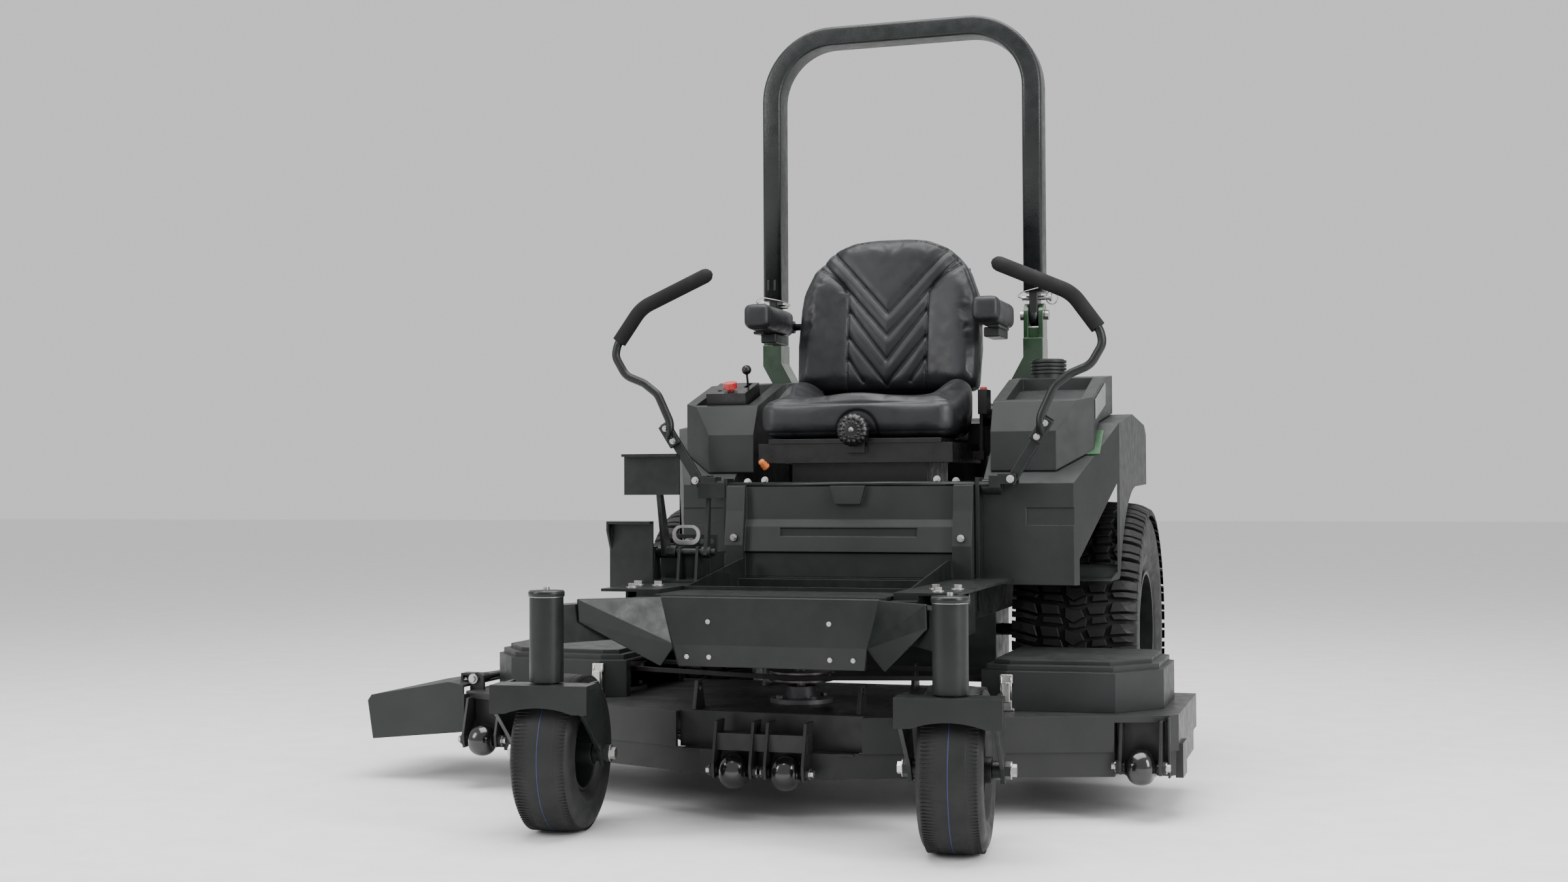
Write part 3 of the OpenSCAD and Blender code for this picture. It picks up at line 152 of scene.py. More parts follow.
FINISH = {
    "frame_black": finish("frame_black", (0.0055, 0.0075, 0.0070), (0.0105, 0.0130, 0.0122), 0.36,
                          grain=700, depth=0.0003, edge_highlight=0.5, dust=0.05, shine=0.34),
    "deck_black": finish("deck_black", (0.0120, 0.0128, 0.0128), (0.0200, 0.0208, 0.0208), 0.42,
                         grain=800, depth=0.0003, edge_highlight=0.5, dust=0.10, shine=0.36),
    "body_plastic": finish("body_plastic", (0.0105, 0.0120, 0.0122), (0.0175, 0.0190, 0.0192), 0.48,
                           grain=1500, depth=0.0004, edge_highlight=0.35, dust=0.06, edge=0.003, shine=0.36),
    "roll_bar_green": finish("roll_bar_green", (0.004, 0.024, 0.006), (0.007, 0.036, 0.010), 0.30,
                             grain=300, depth=0.0002, coat=0.5, edge=0.004),
    "roll_bar_black": finish("roll_bar_black", (0.0050, 0.0065, 0.0065), (0.0095, 0.0115, 0.0115), 0.34,
                             grain=420, depth=0.0007, edge_highlight=0.4, shine=0.40),
    "tyre_rubber": finish("tyre_rubber", (0.0060, 0.0066, 0.0066), (0.0140, 0.0145, 0.0145), 0.58,
                          grain=500, depth=0.0004, dust=0.10, rough_spread=0.12, shine=0.30),
    "seat_vinyl": finish("seat_vinyl", (0.0085, 0.0092, 0.0105), (0.0145, 0.0153, 0.0172), 0.42,
                         grain=650, depth=0.0005, edge=0.001, shine=0.36),
    "grip_foam": finish("grip_foam", (0.0060, 0.0060, 0.0064), (0.0110, 0.0110, 0.0116), 0.80,
                        grain=1400, depth=0.0003, edge=0.001, shine=0.25),
    "black_plastic": finish("black_plastic", (0.0048, 0.0048, 0.0054), (0.0090, 0.0090, 0.0097), 0.32,
                            grain=1100, depth=0.0002, edge_highlight=0.2, shine=0.40),
    "zinc_steel": finish("zinc_steel", (0.38, 0.38, 0.37), (0.56, 0.55, 0.53), 0.34, metal=1.0,
                         grain=240, depth=0.0001, edge=0.0006),
    "bare_steel": finish("bare_steel", (0.09, 0.085, 0.08), (0.20, 0.19, 0.185), 0.42, metal=1.0,
                         grain=160, depth=0.0002),
    "cast_metal": finish("cast_metal", (0.09, 0.09, 0.095), (0.16, 0.16, 0.165), 0.52, metal=0.8,
                         grain=380, depth=0.0008),
    "engine_black": finish("engine_black", (0.0070, 0.0070, 0.0076), (0.0125, 0.0125, 0.0132), 0.40,
                           grain=600, depth=0.0003, edge_highlight=0.3, shine=0.36),
    "control_red": finish("control_red", (0.36, 0.012, 0.012), (0.50, 0.020, 0.018), 0.32,
                          grain=900, depth=0.0001, coat=0.3),
    "belt_rubber": finish("belt_rubber", (0.010, 0.010, 0.010), (0.018, 0.018, 0.0175), 0.70,
                          grain=700, depth=0.0004, shine=0.3),
}
FINISH["tread_line"] = finish("tread_line", (0.008, 0.014, 0.070), (0.014, 0.026, 0.12), 0.55, grain=300)
FINISH["roller_black"] = finish("roller_black", (0.0045, 0.0045, 0.005), (0.0080, 0.0080, 0.0086), 0.18,
                                grain=300, depth=0.0001, coat=0.5)
FINISH["safety_orange"] = finish("safety_orange", (0.42, 0.10, 0.015), (0.55, 0.15, 0.025), 0.5)
FINISH["badge_grey"] = finish("badge_grey", (0.16, 0.17, 0.17), (0.26, 0.27, 0.27), 0.35, metal=0.6)
FINISH["badge_green"] = finish("badge_green", (0.010, 0.060, 0.018), (0.016, 0.085, 0.026), 0.35, grain=300)
FINISH["thread"] = finish("thread", (0.005, 0.005, 0.0055), (0.009, 0.009, 0.010), 0.7, grain=2500)

MATERIAL_OF = {part["node"]: part["material_slot"] for part in frame["record"]["subparts"]}
for node_name, node in nodes.items():
    for slot in node.material_slots:
        slot.material = FINISH[MATERIAL_OF[node_name]]

BODY_OF = {node: body for body, names in frame["record"]["behaviour"]["bodies"].items() for node in names}


# ---------- mesh making ----------
def mesh_object(name, verts, faces, smooth=True):
    mesh = bpy.data.meshes.new(name)
    mesh.from_pydata([tuple(v) for v in verts], [], faces)
    mesh.update()
    obj = bpy.data.objects.new(name, mesh)
    bpy.context.scene.collection.objects.link(obj)
    if smooth:
        mesh.shade_smooth()
    return obj


def outward(obj, merge=1e-6):
    """Merges doubled points and turns every face outwards."""
    bm = bmesh.new()
    bm.from_mesh(obj.data)
    bmesh.ops.remove_doubles(bm, verts=bm.verts, dist=merge)
    bmesh.ops.recalc_face_normals(bm, faces=bm.faces)
    bm.to_mesh(obj.data)
    bm.free()
    return obj


def bake_modifiers(obj):
    """Turns what the modifiers make into the object's plain mesh."""
    graph = bpy.context.evaluated_depsgraph_get()
    mesh = bpy.data.meshes.new_from_object(obj.evaluated_get(graph))
    obj.modifiers.clear()
    obj.data = mesh
    return obj


SHARP_ANGLE = 0.6                                  # radians between faces that make an edge sharp


def rounded(obj, width):
    """Rounds the sharp edges of a plain solid."""
    bevel = obj.modifiers.new("round", "BEVEL")
    bevel.width = width
    bevel.segments = 3
    bevel.limit_method = "ANGLE"
    bevel.angle_limit = SHARP_ANGLE
    bevel.harden_normals = False
    bake_modifiers(obj)
    obj.data.shade_smooth()
    mark = obj.modifiers.new("sharp", "WEIGHTED_NORMAL")
    mark.keep_sharp = True
    return bake_modifiers(obj)


def joined(name, parts):
    """One object from several, keeping their materials."""
    mesh = bpy.data.meshes.new(name)
    bm = bmesh.new()
    slots = []
    for part in parts:
        data = part.data
        start = len(bm.faces)
        bm.from_mesh(data)
        bm.faces.ensure_lookup_table()
        mats = list(data.materials)
        for face in bm.faces[start:]:
            mat = mats[face.material_index] if mats else None
            if mat not in slots:
                slots.append(mat)
            face.material_index = slots.index(mat)
    bm.to_mesh(mesh)
    bm.free()
    for mat in slots:
        mesh.materials.append(mat)
    obj = bpy.data.objects.new(name, mesh)
    bpy.context.scene.collection.objects.link(obj)
    for part in parts:
        bpy.data.objects.remove(part)
    return obj


def painted(obj, key):
    obj.data.materials.clear()
    obj.data.materials.append(FINISH[key])
    return obj


def fitted(obj, body, key, *stands_for):
    """Hangs a finished piece on its body and hides the CAD nodes it stands for."""
    if not obj.data.materials:
        painted(obj, key)
    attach(obj, body)
    if stands_for:
        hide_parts(*stands_for)
    return obj


def group(name, parts, body, key, *stands_for):
    """Several parts of one finish as one piece, hung on its body."""
    return fitted(painted(joined(name, parts), key), body, key, *stands_for)


def prism(name, outline, low, high, axis="x", bevel=0.0):
    """An outline given in mm, made thick between low and high along an axis of the machine."""
    def point(p, t):
        if axis == "x":
            return at(t, p[0], p[1])
        if axis == "y":
            return at(p[0], t, p[1])
        return at(p[0], p[1], t)
    n = len(outline)
    verts = [point(p, low) for p in outline] + [point(p, high) for p in outline]
    faces = [list(range(n)), list(range(2 * n - 1, n - 1, -1))]
    faces += [[i, n + i, n + (i + 1) % n, (i + 1) % n] for i in range(n)]
    obj = outward(mesh_object(name, verts, faces, smooth=False))
    return rounded(obj, bevel * MM) if bevel else obj


def block(name, x0, x1, y0, y1, z0, z1, bevel=0.0):
    return prism(name, [(x0, y0), (x1, y0), (x1, y1), (x0, y1)], z0, z1, "z", bevel)


def turned(name, profile, centre, direction, count=64, wave=None):
    """A profile of (radius, height) in metres turned about a direction through a centre."""
    turn = Vector(direction).normalized().to_track_quat("Z", "Y").to_matrix()
    verts, faces = [], []
    for i in range(count):
        angle = 2 * math.pi * i / count
        for radius, height in profile:
            r = radius * (wave(angle) if wave else 1.0)
            verts.append(Vector(centre) + turn @ Vector((r * math.cos(angle), r * math.sin(angle), height)))
    m = len(profile)
    for i in range(count):
        k = (i + 1) % count
        for j in range(m - 1):
            faces.append([i * m + j, k * m + j, k * m + j + 1, i * m + j + 1])
    return outward(mesh_object(name, verts, faces))


def filleted(points, radius, steps=8):
    """A path with each inner corner turned into an arc."""
    points = [Vector(p) for p in points]
    path = [points[0]]
    for before, corner, after in zip(points, points[1:], points[2:]):
        a = (before - corner).normalized()
        b = (after - corner).normalized()
        half = a.angle(b) / 2
        reach = min(radius / math.tan(half), (before - corner).length * 0.48, (after - corner).length * 0.48)
        start, end = corner + a * reach, corner + b * reach
        for i in range(steps + 1):
            t = i / steps
            path.append(start.lerp(corner, t).lerp(corner.lerp(end, t), t))
    path.append(points[-1])
    return path


def swept(name, path, profile, normal=(0, 1, 0)):
    """A closed profile of (side, up) pairs carried along a path; up stays as near normal as it can."""
    count, m = len(path), len(profile)
    verts, faces = [], []
    for i, point in enumerate(path):
        along = (path[min(i + 1, count - 1)] - path[max(i - 1, 0)]).normalized()
        side = along.cross(Vector(normal)).normalized()
        up = side.cross(along)
        verts += [point + side * s + up * u for s, u in profile]
    for i in range(count - 1):
        k = i + 1
        faces += [[i * m + j, i * m + (j + 1) % m, k * m + (j + 1) % m, k * m + j] for j in range(m)]
    faces += [list(range(m - 1, -1, -1)), list(range((count - 1) * m, count * m))]
    return outward(mesh_object(name, verts, faces))


def ring(radius, count=20):
    return [(radius * math.cos(2 * math.pi * i / count), radius * math.sin(2 * math.pi * i / count))
            for i in range(count)]


def rounded_box_profile(w, h, r, steps=4):
    out = []
    for k, (cx, cy) in enumerate([(w / 2 - r, h / 2 - r), (-w / 2 + r, h / 2 - r),
                                  (-w / 2 + r, -h / 2 + r), (w / 2 - r, -h / 2 + r)]):
        for i in range(steps + 1):
            angle = math.radians(90 * k + 90 * i / steps)
            out.append((cx + r * math.cos(angle), cy + r * math.sin(angle)))
    return out


def hose(name, points, radius, bend=0.03, count=12, normal=(0, 1, 0)):
    return swept(name, filleted(points, bend), ring(radius, count), normal)


# ---------- geometry node trees ----------
def new_tree(name, inputs):
    tree = bpy.data.node_groups.new(name, "GeometryNodeTree")
    tree.interface.new_socket("Geometry", in_out="INPUT", socket_type="NodeSocketGeometry")
    for label, value in inputs.items():
        kind = "NodeSocketInt" if isinstance(value, int) else "NodeSocketFloat"
        tree.interface.new_socket(label, in_out="INPUT", socket_type=kind).default_value = value
    tree.interface.new_socket("Geometry", in_out="OUTPUT", socket_type="NodeSocketGeometry")
    return tree, tree.nodes.new("NodeGroupInput"), tree.nodes.new("NodeGroupOutput")


def run_tree(obj, tree, values):
    """Runs a tree on an object with these named inputs and keeps the result as its plain mesh."""
    modifier = obj.modifiers.new(tree.name, "NODES")
    modifier.node_group = tree
    for item in tree.interface.items_tree:
        if item.in_out == "INPUT" and item.name in values:
            modifier[item.identifier] = values[item.name]
    return bake_modifiers(obj)


def turned_to_aim(tree):
    """The node that stands an instance along its point's aim."""
    aim = tree.nodes.new("GeometryNodeInputNamedAttribute")
    aim.data_type = "FLOAT_VECTOR"
    aim.inputs["Name"].default_value = "aim"
    turn = tree.nodes.new("FunctionNodeAlignRotationToVector")
    turn.axis = "Z"
    tree.links.new(aim.outputs["Attribute"], turn.inputs["Vector"])
    return turn


def ended(tree, stand, sink, key):
    """Ends a tree: its instances made real and given their material."""
    real = tree.nodes.new("GeometryNodeRealizeInstances")
    tree.links.new(stand.outputs["Instances"], real.inputs[0])
    coat = tree.nodes.new("GeometryNodeSetMaterial")
    coat.inputs["Material"].default_value = FINISH[key]
    tree.links.new(real.outputs[0], coat.inputs["Geometry"])
    tree.links.new(coat.outputs["Geometry"], sink.inputs[0])
    return tree


def aimed_points(name, points, aims):
    """A mesh of bare points, each with the direction that its instance stands along."""
    obj = mesh_object(name, points, [], smooth=False)
    aim = obj.data.attributes.new("aim", "FLOAT_VECTOR", "POINT")
    for i, direction in enumerate(aims):
        aim.data[i].vector = direction
    return obj


def bolt_tree():
    """Hexagon heads on washers, one on each point, standing along the point's aim."""
    tree, source, sink = new_tree("bolt heads", {"Head radius": 0.008, "Head height": 0.006,
                                                 "Washer radius": 0.011})
    new, link = tree.nodes.new, tree.links.new
    head = new("GeometryNodeMeshCylinder")
    head.inputs["Vertices"].default_value = 6
    washer = new("GeometryNodeMeshCylinder")
    washer.inputs["Vertices"].default_value = 20
    washer.inputs["Depth"].default_value = 0.002
    link(source.outputs["Head radius"], head.inputs["Radius"])
    link(source.outputs["Head height"], head.inputs["Depth"])
    link(source.outputs["Washer radius"], washer.inputs["Radius"])
    lift = new("ShaderNodeMath")
    lift.operation = "MULTIPLY"
    lift.inputs[1].default_value = 0.5
    link(source.outputs["Head height"], lift.inputs[0])
    shift = new("ShaderNodeCombineXYZ")
    link(lift.outputs[0], shift.inputs["Z"])
    raised = new("GeometryNodeTransform")
    link(head.outputs["Mesh"], raised.inputs["Geometry"])
    link(shift.outputs[0], raised.inputs["Translation"])
    both = new("GeometryNodeJoinGeometry")
    link(washer.outputs["Mesh"], both.inputs[0])
    link(raised.outputs["Geometry"], both.inputs[0])
    turn = turned_to_aim(tree)
    stand = new("GeometryNodeInstanceOnPoints")
    link(source.outputs["Geometry"], stand.inputs["Points"])
    link(both.outputs[0], stand.inputs["Instance"])
    link(turn.outputs["Rotation"], stand.inputs["Rotation"])
    return ended(tree, stand, sink, "zinc_steel")


BOLTS = bolt_tree()


def bolts(name, spots, body, radius=8.0, height=6.0, washer=11.0):
    """Bolt heads at (point in metres, direction) spots, all on one body."""
    obj = aimed_points(name, *zip(*spots))
    run_tree(obj, BOLTS, {"Head radius": radius * MM, "Head height": height * MM,
                          "Washer radius": washer * MM})
    return fitted(obj, body, "zinc_steel")


def wheel_tree(name, key):
    """A template repeated evenly about the X axis."""
    tree, source, sink = new_tree(name, {"Count": 30})
    new, link = tree.nodes.new, tree.links.new
    spots = new("GeometryNodePoints")
    link(source.outputs["Count"], spots.inputs["Count"])
    index = new("GeometryNodeInputIndex")
    share = new("ShaderNodeMath")
    share.operation = "DIVIDE"
    link(index.outputs[0], share.inputs[0])
    link(source.outputs["Count"], share.inputs[1])
    angle = new("ShaderNodeMath")
    angle.operation = "MULTIPLY"
    angle.inputs[1].default_value = 2 * math.pi
    link(share.outputs[0], angle.inputs[0])
    turn = new("FunctionNodeEulerToRotation")
    mix = new("ShaderNodeCombineXYZ")
    link(angle.outputs[0], mix.inputs["X"])
    link(mix.outputs[0], turn.inputs[0])
    stand = new("GeometryNodeInstanceOnPoints")
    link(spots.outputs[0], stand.inputs["Points"])
    link(source.outputs["Geometry"], stand.inputs["Instance"])
    link(turn.outputs[0], stand.inputs["Rotation"])
    return ended(tree, stand, sink, key)


def around_axle(template, tree, count, turn, centre):
    """Repeats a template about its own X axis, then puts the ring at a wheel's centre."""
    run_tree(template, tree, {"Count": count})
    template.data.transform(Matrix.Translation(centre) @ turn)
    template.data.shade_flat()
    return template


# ---------- roll bar ----------
HINGE_UP = 1130                                    # height of the roll bar's hinge bolts
hoop_low, hoop_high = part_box("rops_hoop")
HOOP_TUBE = (50.0, (hoop_high[1] - hoop_low[1]) / MM)
HOOP_BEND = 165.0                                  # radius of the hoop's corners
BEND_STEPS = 16


def make_hoop():
    """The bent tube of the roll bar with its tongues in the hinges; gives its half width and its plane."""
    half = (hoop_high[0] - hoop_low[0]) / 2 / MM - HOOP_TUBE[0] / 2
    top = hoop_high[2] / MM - HOOP_TUBE[0] / 2
    back = (middle("rops_hoop").y - PIVOT_Y) / MM
    path = [at(-half, back, HINGE_UP + 58)]
    for side, first in ((-1, 180), (1, 90)):
        centre = (side * (half - HOOP_BEND), top - HOOP_BEND)
        for i in range(BEND_STEPS + 1):
            angle = math.radians(first - 90 * i / BEND_STEPS)
            path.append(at(centre[0] + HOOP_BEND * math.cos(angle), back,
                           centre[1] + HOOP_BEND * math.sin(angle)))
    path.append(at(half, back, HINGE_UP + 58))
    parts = [swept("hoop_tube", path, [(s * MM, u * MM) for s, u in
                                       rounded_box_profile(HOOP_TUBE[0], HOOP_TUBE[1], 9.0)])]
    for side in (-1, 1):
        x = side * half
        parts.append(block("tongue", x - 11, x + 11, back - 28, back + 28, HINGE_UP + 4, HINGE_UP + 70, 3))
        parts.append(turned("tongue_end", [(0, -0.011), (0.028, -0.011), (0.028, 0.011), (0, 0.011)],
                            at(x, back, HINGE_UP), (1, 0, 0), 40))
        for dx in (-9, 9):
            parts.append(block("slot_rim", x + dx - 3, x + dx + 3, back - 39.0, back - 36, HINGE_UP + 84,
                               HINGE_UP + 112, 1))
    group("roll_bar_hoop", parts, "roll_bar", "roll_bar_black", "rops_hoop")
    return half, back


HOOP_X, HOOP_BACK = make_hoop()


def make_lock_pins():
    """Rings and wire loops that keep the lock pins in."""
    parts = []
    for side in (-1, 1):
        x = side * HOOP_X
        out = side * (HOOP_TUBE[0] / 2 + 12)
        parts.append(turned("pin_ring", [(0.0165 + 0.0016 * math.cos(a), 0.0016 * math.sin(a))
                                         for a in [i * math.pi / 4 for i in range(9)]],
                            at(x + out + side * 6, HOOP_BACK, HINGE_UP + 44), (0.3, 1, 0.1), 32))
        wire = [at(x + out, HOOP_BACK, HINGE_UP + 44), at(x + out + side * 16, HOOP_BACK - 26, HINGE_UP + 60),
                at(x + side * 20, HOOP_BACK - 46, HINGE_UP + 66),
                at(x - side * 26, HOOP_BACK - 44, HINGE_UP + 56),
                at(x - side * 44, HOOP_BACK - 12, HINGE_UP + 48), at(x - side * 34, HOOP_BACK, HINGE_UP + 44)]
        parts.append(hose("pin_wire", wire, 0.0012, 0.02, 8, (0, 0, 1)))
    group("lock_pin_wires", parts, "roll_bar", "zinc_steel")


make_lock_pins()


def make_hinge_blocks():
    """The green blocks between the hinge cheeks, under the hoop's rounded tongues."""
    parts = [block("hinge_block", x - 14, x + 14, HOOP_BACK - 25, HOOP_BACK + 25,
                   HINGE_UP - 66, HINGE_UP - 32, 2) for x in (-HOOP_X, HOOP_X)]
    group("hinge_blocks", parts, "chassis", "roll_bar_green")


make_hinge_blocks()


# ---------- lap bars ----------
BAR_BACK = 776                                     # plane of both lap bars
GRIP_SIDES = 28
GRIP_TIP = (0.9, 0.95, 0.975, 0.99, 1.0)           # shares of the last stretch, where the end rounds off


def make_lap_bar(side, name):
    """A bent steel tube with a foam grip, on a flat arm that is clamped to the control lever."""
    steel = [(448, 812), (448, 853), (479, 920), (515, 948), (562, 967), (590, 1015), (583, 1044),
             (567, 1067)]
    grip = [(579, 1050), (521, 1130), (340, 1209)]
    parts = []
    tube = swept("tube", filleted([at(side * x, BAR_BACK, z) for x, z in steel], 0.045), ring(0.010, 20))
    parts.append(painted(tube, "frame_black"))
    route = filleted([at(side * x, BAR_BACK, z) for x, z in grip], 0.09, 10)
    # finer rings near the ends, so that they round off
    ends = [route[0].lerp(route[1], s) for s in (0.0, 0.01, 0.03, 0.08)]
    tail = [route[-2].lerp(route[-1], s) for s in GRIP_TIP]
    path = ends + route[1:-1] + tail
    sleeve = swept("grip", path, ring(0.0175, GRIP_SIDES))
    for i, point in enumerate(tail):
        shrink = max(0.35, math.sqrt(max(0.0, 1 - ((GRIP_TIP[0] - GRIP_TIP[i]) / 0.1) ** 2)))
        first = (len(path) - len(tail) + i) * GRIP_SIDES
        for v in sleeve.data.vertices[first:first + GRIP_SIDES]:
            v.co = point + (v.co - point) * shrink
    parts.append(painted(sleeve, "grip_foam"))
    # flat lower arm with its clamp
    pivot, top = Vector((380, 712)), Vector((461, 841))
    along = (top - pivot).normalized()
    across = Vector((along[1], -along[0]))
    for label, near, far, half, y0, y1 in (("arm", -12, 165, 12, 784, 796),
                                           ("clamp", 100, 160, 15, 772, 784)):
        outline = [pivot + along * s + across * h for s, h in
                   ((near, -half), (near, half), (far, half), (far, -half))]
        plate = prism(label, [(side * p[0], p[1]) for p in outline], y0, y1, "y", 2.5)
        parts.append(painted(plate, "frame_black"))
    bar = joined(f"lap_bar_tube_{name}", parts)
    fitted(bar, f"lap_bar_{name}", "frame_black", f"lap_bar_{name}")
    spots = []
    for s in (112, 148):
        p = pivot + along * s
        spots.append((at(side * p[0], 771, p[1]), (0, -1, 0)))
    bolts(f"lap_bar_bolts_{name}", spots, f"lap_bar_{name}", 5, 5, 7.5)
    bolts(f"lever_bolts_{name}", [(at(side * pivot[0], 765, pivot[1]), (0, -1, 0))], f"lever_{name}", 6, 6, 9)


for side, name in ((1, "left"), (-1, "right")):
    make_lap_bar(side, name)


# ---------- tyres ----------
def tyre_profile(width, outer, bead, shoulder, crown=0.0):
    """(radius, height across) of a tyre's closed section, from bead to bead and back inside."""
    half = width / 2
    out = [(bead, -half * 0.70), (bead + 0.006, -half * 0.84), (bead + (outer - bead) * 0.22, -half * 0.94),
           (bead + (outer - bead) * 0.26, -half * 0.955), (bead + (outer - bead) * 0.30, -half * 0.94),
           (bead + (outer - bead) * 0.45, -half)]
    steps = 7
    for i in range(steps + 1):
        a = math.radians(90 * i / steps)
        out.append((outer - crown - shoulder + shoulder * math.sin(a),
                    -half + shoulder * (1 - math.cos(a)) * 0.9))
    across = half - shoulder * 0.9
    for i in range(1, 9):
        t = -1 + 2 * i / 9
        out.append((outer - crown * t * t, across * t))
    mirrored = [(r, -h) for r, h in reversed(out[:14])]
    return out + mirrored + [(bead - 0.002, half * 0.66), (bead - 0.002, -half * 0.66), out[0]]


def wheel_turn(node):
    """The wheel's own axis as the frame gives it: across the machine, or as its caster is parked."""
    joint = next(j for j in frame["joints"] if j["child"] == BODY_OF[node])
    axis = Vector(joint["axis"]).normalized()
    return axis, Vector((1, 0, 0)).rotation_difference(axis).to_matrix().to_4x4(), Vector(joint["pos_m"])


FRONT_R = span("caster_tyre_left").z / 2
FRONT_W = 0.124
FRONT_BEAD = 0.076
FRONT_CROWN = 0.0030
AXLE_END = FRONT_W / 2 + 0.0418                    # from a caster's middle to its axle bolt's head
REAR_R = span("drive_tyre_left").z / 2
REAR_W = span("drive_tyre_left").x
REAR_BEAD = 0.152
REAR_CROWN = 0.014
LUG_HIGH = 0.0095
LUGS_PER_TURN = 38
SKIN = 0.0006                                      # keeps the looks inside the CAD's outer radius
RIBS = wheel_tree("tyre ribs", "tyre_rubber")


def crown_drop(x):
    """How much lower a caster's tread is at a distance from its middle."""
    return FRONT_CROWN * (x / 0.042) ** 2


def rib_block(x0, x1, radius, thick, high):
    """One low rib across a tread, to be repeated round the axle."""
    verts = []
    for x in (x0, x1):
        for y, z in ((-thick / 2, radius - 0.002), (thick / 2, radius - 0.002),
                     (thick / 4, radius + high), (-thick / 4, radius + high)):
            verts.append((x, y, z))
    faces = [[0, 1, 2, 3], [7, 6, 5, 4], [0, 4, 5, 1], [1, 5, 6, 2], [2, 6, 7, 3], [3, 7, 4, 0]]
    return outward(mesh_object("rib", verts, faces, smooth=False))


def make_caster_tyre(name):
    """A smooth caster tyre with fine cross ribs, a coloured line and ribbed sides."""
    node = f"caster_tyre_{name}"
    axis, turn, centre = wheel_turn(node)
    body = BODY_OF[node]
    outer = FRONT_R - SKIN
    profile = tyre_profile(FRONT_W, outer, FRONT_BEAD, 0.022, FRONT_CROWN)
    parts = [painted(turned("casing", profile, centre, axis, 120), "tyre_rubber")]
    # moulded rings and the coloured line round the tread
    for h, r, key in ((0.0, 0.0009, "tread_line"), (0.031, 0.0007, "tyre_rubber"),
                      (-0.031, 0.0007, "tyre_rubber")):
        foot, top = outer - crown_drop(h) - 0.001, outer - crown_drop(h) + r * 0.4
        line = turned("line", [(foot, h - 0.0010), (top, h - 0.0008), (top, h + 0.0008), (foot, h + 0.0010)],
                      centre, axis, 120)
        parts.append(painted(line, key))
    fitted(joined(f"caster_tyre_casing_{name}", parts), body, "tyre_rubber", node)
    ribs = []
    for x0, x1 in ((-0.052, -0.006), (0.030, 0.054)):
        rib = rib_block(x0, x1, outer - crown_drop((x0 + x1) / 2), 0.003, 0.0006)
        ribs.append(around_axle(rib, RIBS, 130, turn, centre))
    for x in (-0.0592, 0.0592):
        side_rib = rib_block(x - 0.0015, x + 0.0015, 0.112, 0.0022, 0.014)
        ribs.append(around_axle(side_rib, RIBS, 90, turn, centre))
    fitted(joined(f"caster_tyre_ribs_{name}", ribs), body, "tyre_rubber")
    ends = [(centre + axis * s * AXLE_END, axis * s) for s in (-1, 1)]
    bolts(f"caster_axle_nuts_{name}", ends, BODY_OF[f"caster_fork_{name}"], 12, 10, 17)


def tread_template(outer, width, count):
    """The lugs of one pitch of the drive tyre's tread, bent over its crown."""
    pitch = 2 * math.pi / count
    half = width / 2
    # each lug is a strip of (across, along) corners; across is a share of the half width
    lugs = [
        [(-1.02, -0.42), (-0.62, -0.30), (-0.56, 0.16), (-1.02, 0.02)],
        [(-1.02, 0.14), (-0.56, 0.28), (-0.60, 0.46), (-1.02, 0.42)],
        [(-0.54, -0.34), (-0.24, -0.46), (-0.20, -0.06), (-0.50, 0.12)],
        [(-0.48, 0.22), (-0.18, 0.04), (-0.14, 0.34), (-0.50, 0.48)],
        [(-0.13, -0.48), (0.14, -0.34), (0.20, 0.04), (0.00, 0.16), (-0.13, 0.02)],
        [(-0.08, 0.14), (0.02, 0.24), (0.24, 0.14), (0.22, 0.46), (-0.06, 0.40)],
        [(0.22, -0.40), (0.54, -0.28), (0.50, 0.08), (0.27, -0.02)],
        [(0.31, 0.10), (0.52, 0.20), (0.56, 0.50), (0.30, 0.42)],
        [(1.02, -0.30), (0.62, -0.40), (0.58, 0.06), (1.02, 0.14)],
        [(1.02, 0.24), (0.60, 0.16), (0.64, 0.40), (1.02, 0.52)],
    ]

    def surface(s, t, lift):
        x = s * half
        drop = 0.010 * s * s + (0.012 * max(0.0, (abs(s) - 0.72) / 0.3) ** 2)
        r = outer - LUG_HIGH - drop + lift
        # lugs lean round the crown towards the shoulders
        angle = pitch * (t + 0.55 * max(0.0, 1 - abs(s)) ** 1.5)
        return Vector((x, -r * math.sin(angle), r * math.cos(angle)))

    verts, faces = [], []
    for lug in lugs:
        cx = sum(p[0] for p in lug) / len(lug)
        ct = sum(p[1] for p in lug) / len(lug)
        rim = []
        for i, a in enumerate(lug):
            b = lug[(i + 1) % len(lug)]
            rim += [(a[0] + (b[0] - a[0]) * k / 3, a[1] + (b[1] - a[1]) * k / 3) for k in range(3)]
        start = len(verts)
        for scale, lift in ((1.0, -0.004), (0.97, LUG_HIGH * 0.8), (0.90, LUG_HIGH)):
            verts += [surface(cx + (s - cx) * scale, ct + (t - ct) * scale, lift) for s, t in rim]
        verts.append(surface(cx, ct, LUG_HIGH))
        n = len(rim)
        for level in (0, 1):
            for i in range(n):
                k = (i + 1) % n
                faces.append([start + level * n + i, start + level * n + k,
                              start + (level + 1) * n + k, start + (level + 1) * n + i])
        faces += [[start + 2 * n + i, start + 2 * n + (i + 1) % n, start + 3 * n] for i in range(n)]
    return outward(mesh_object("lugs", verts, faces, smooth=False))


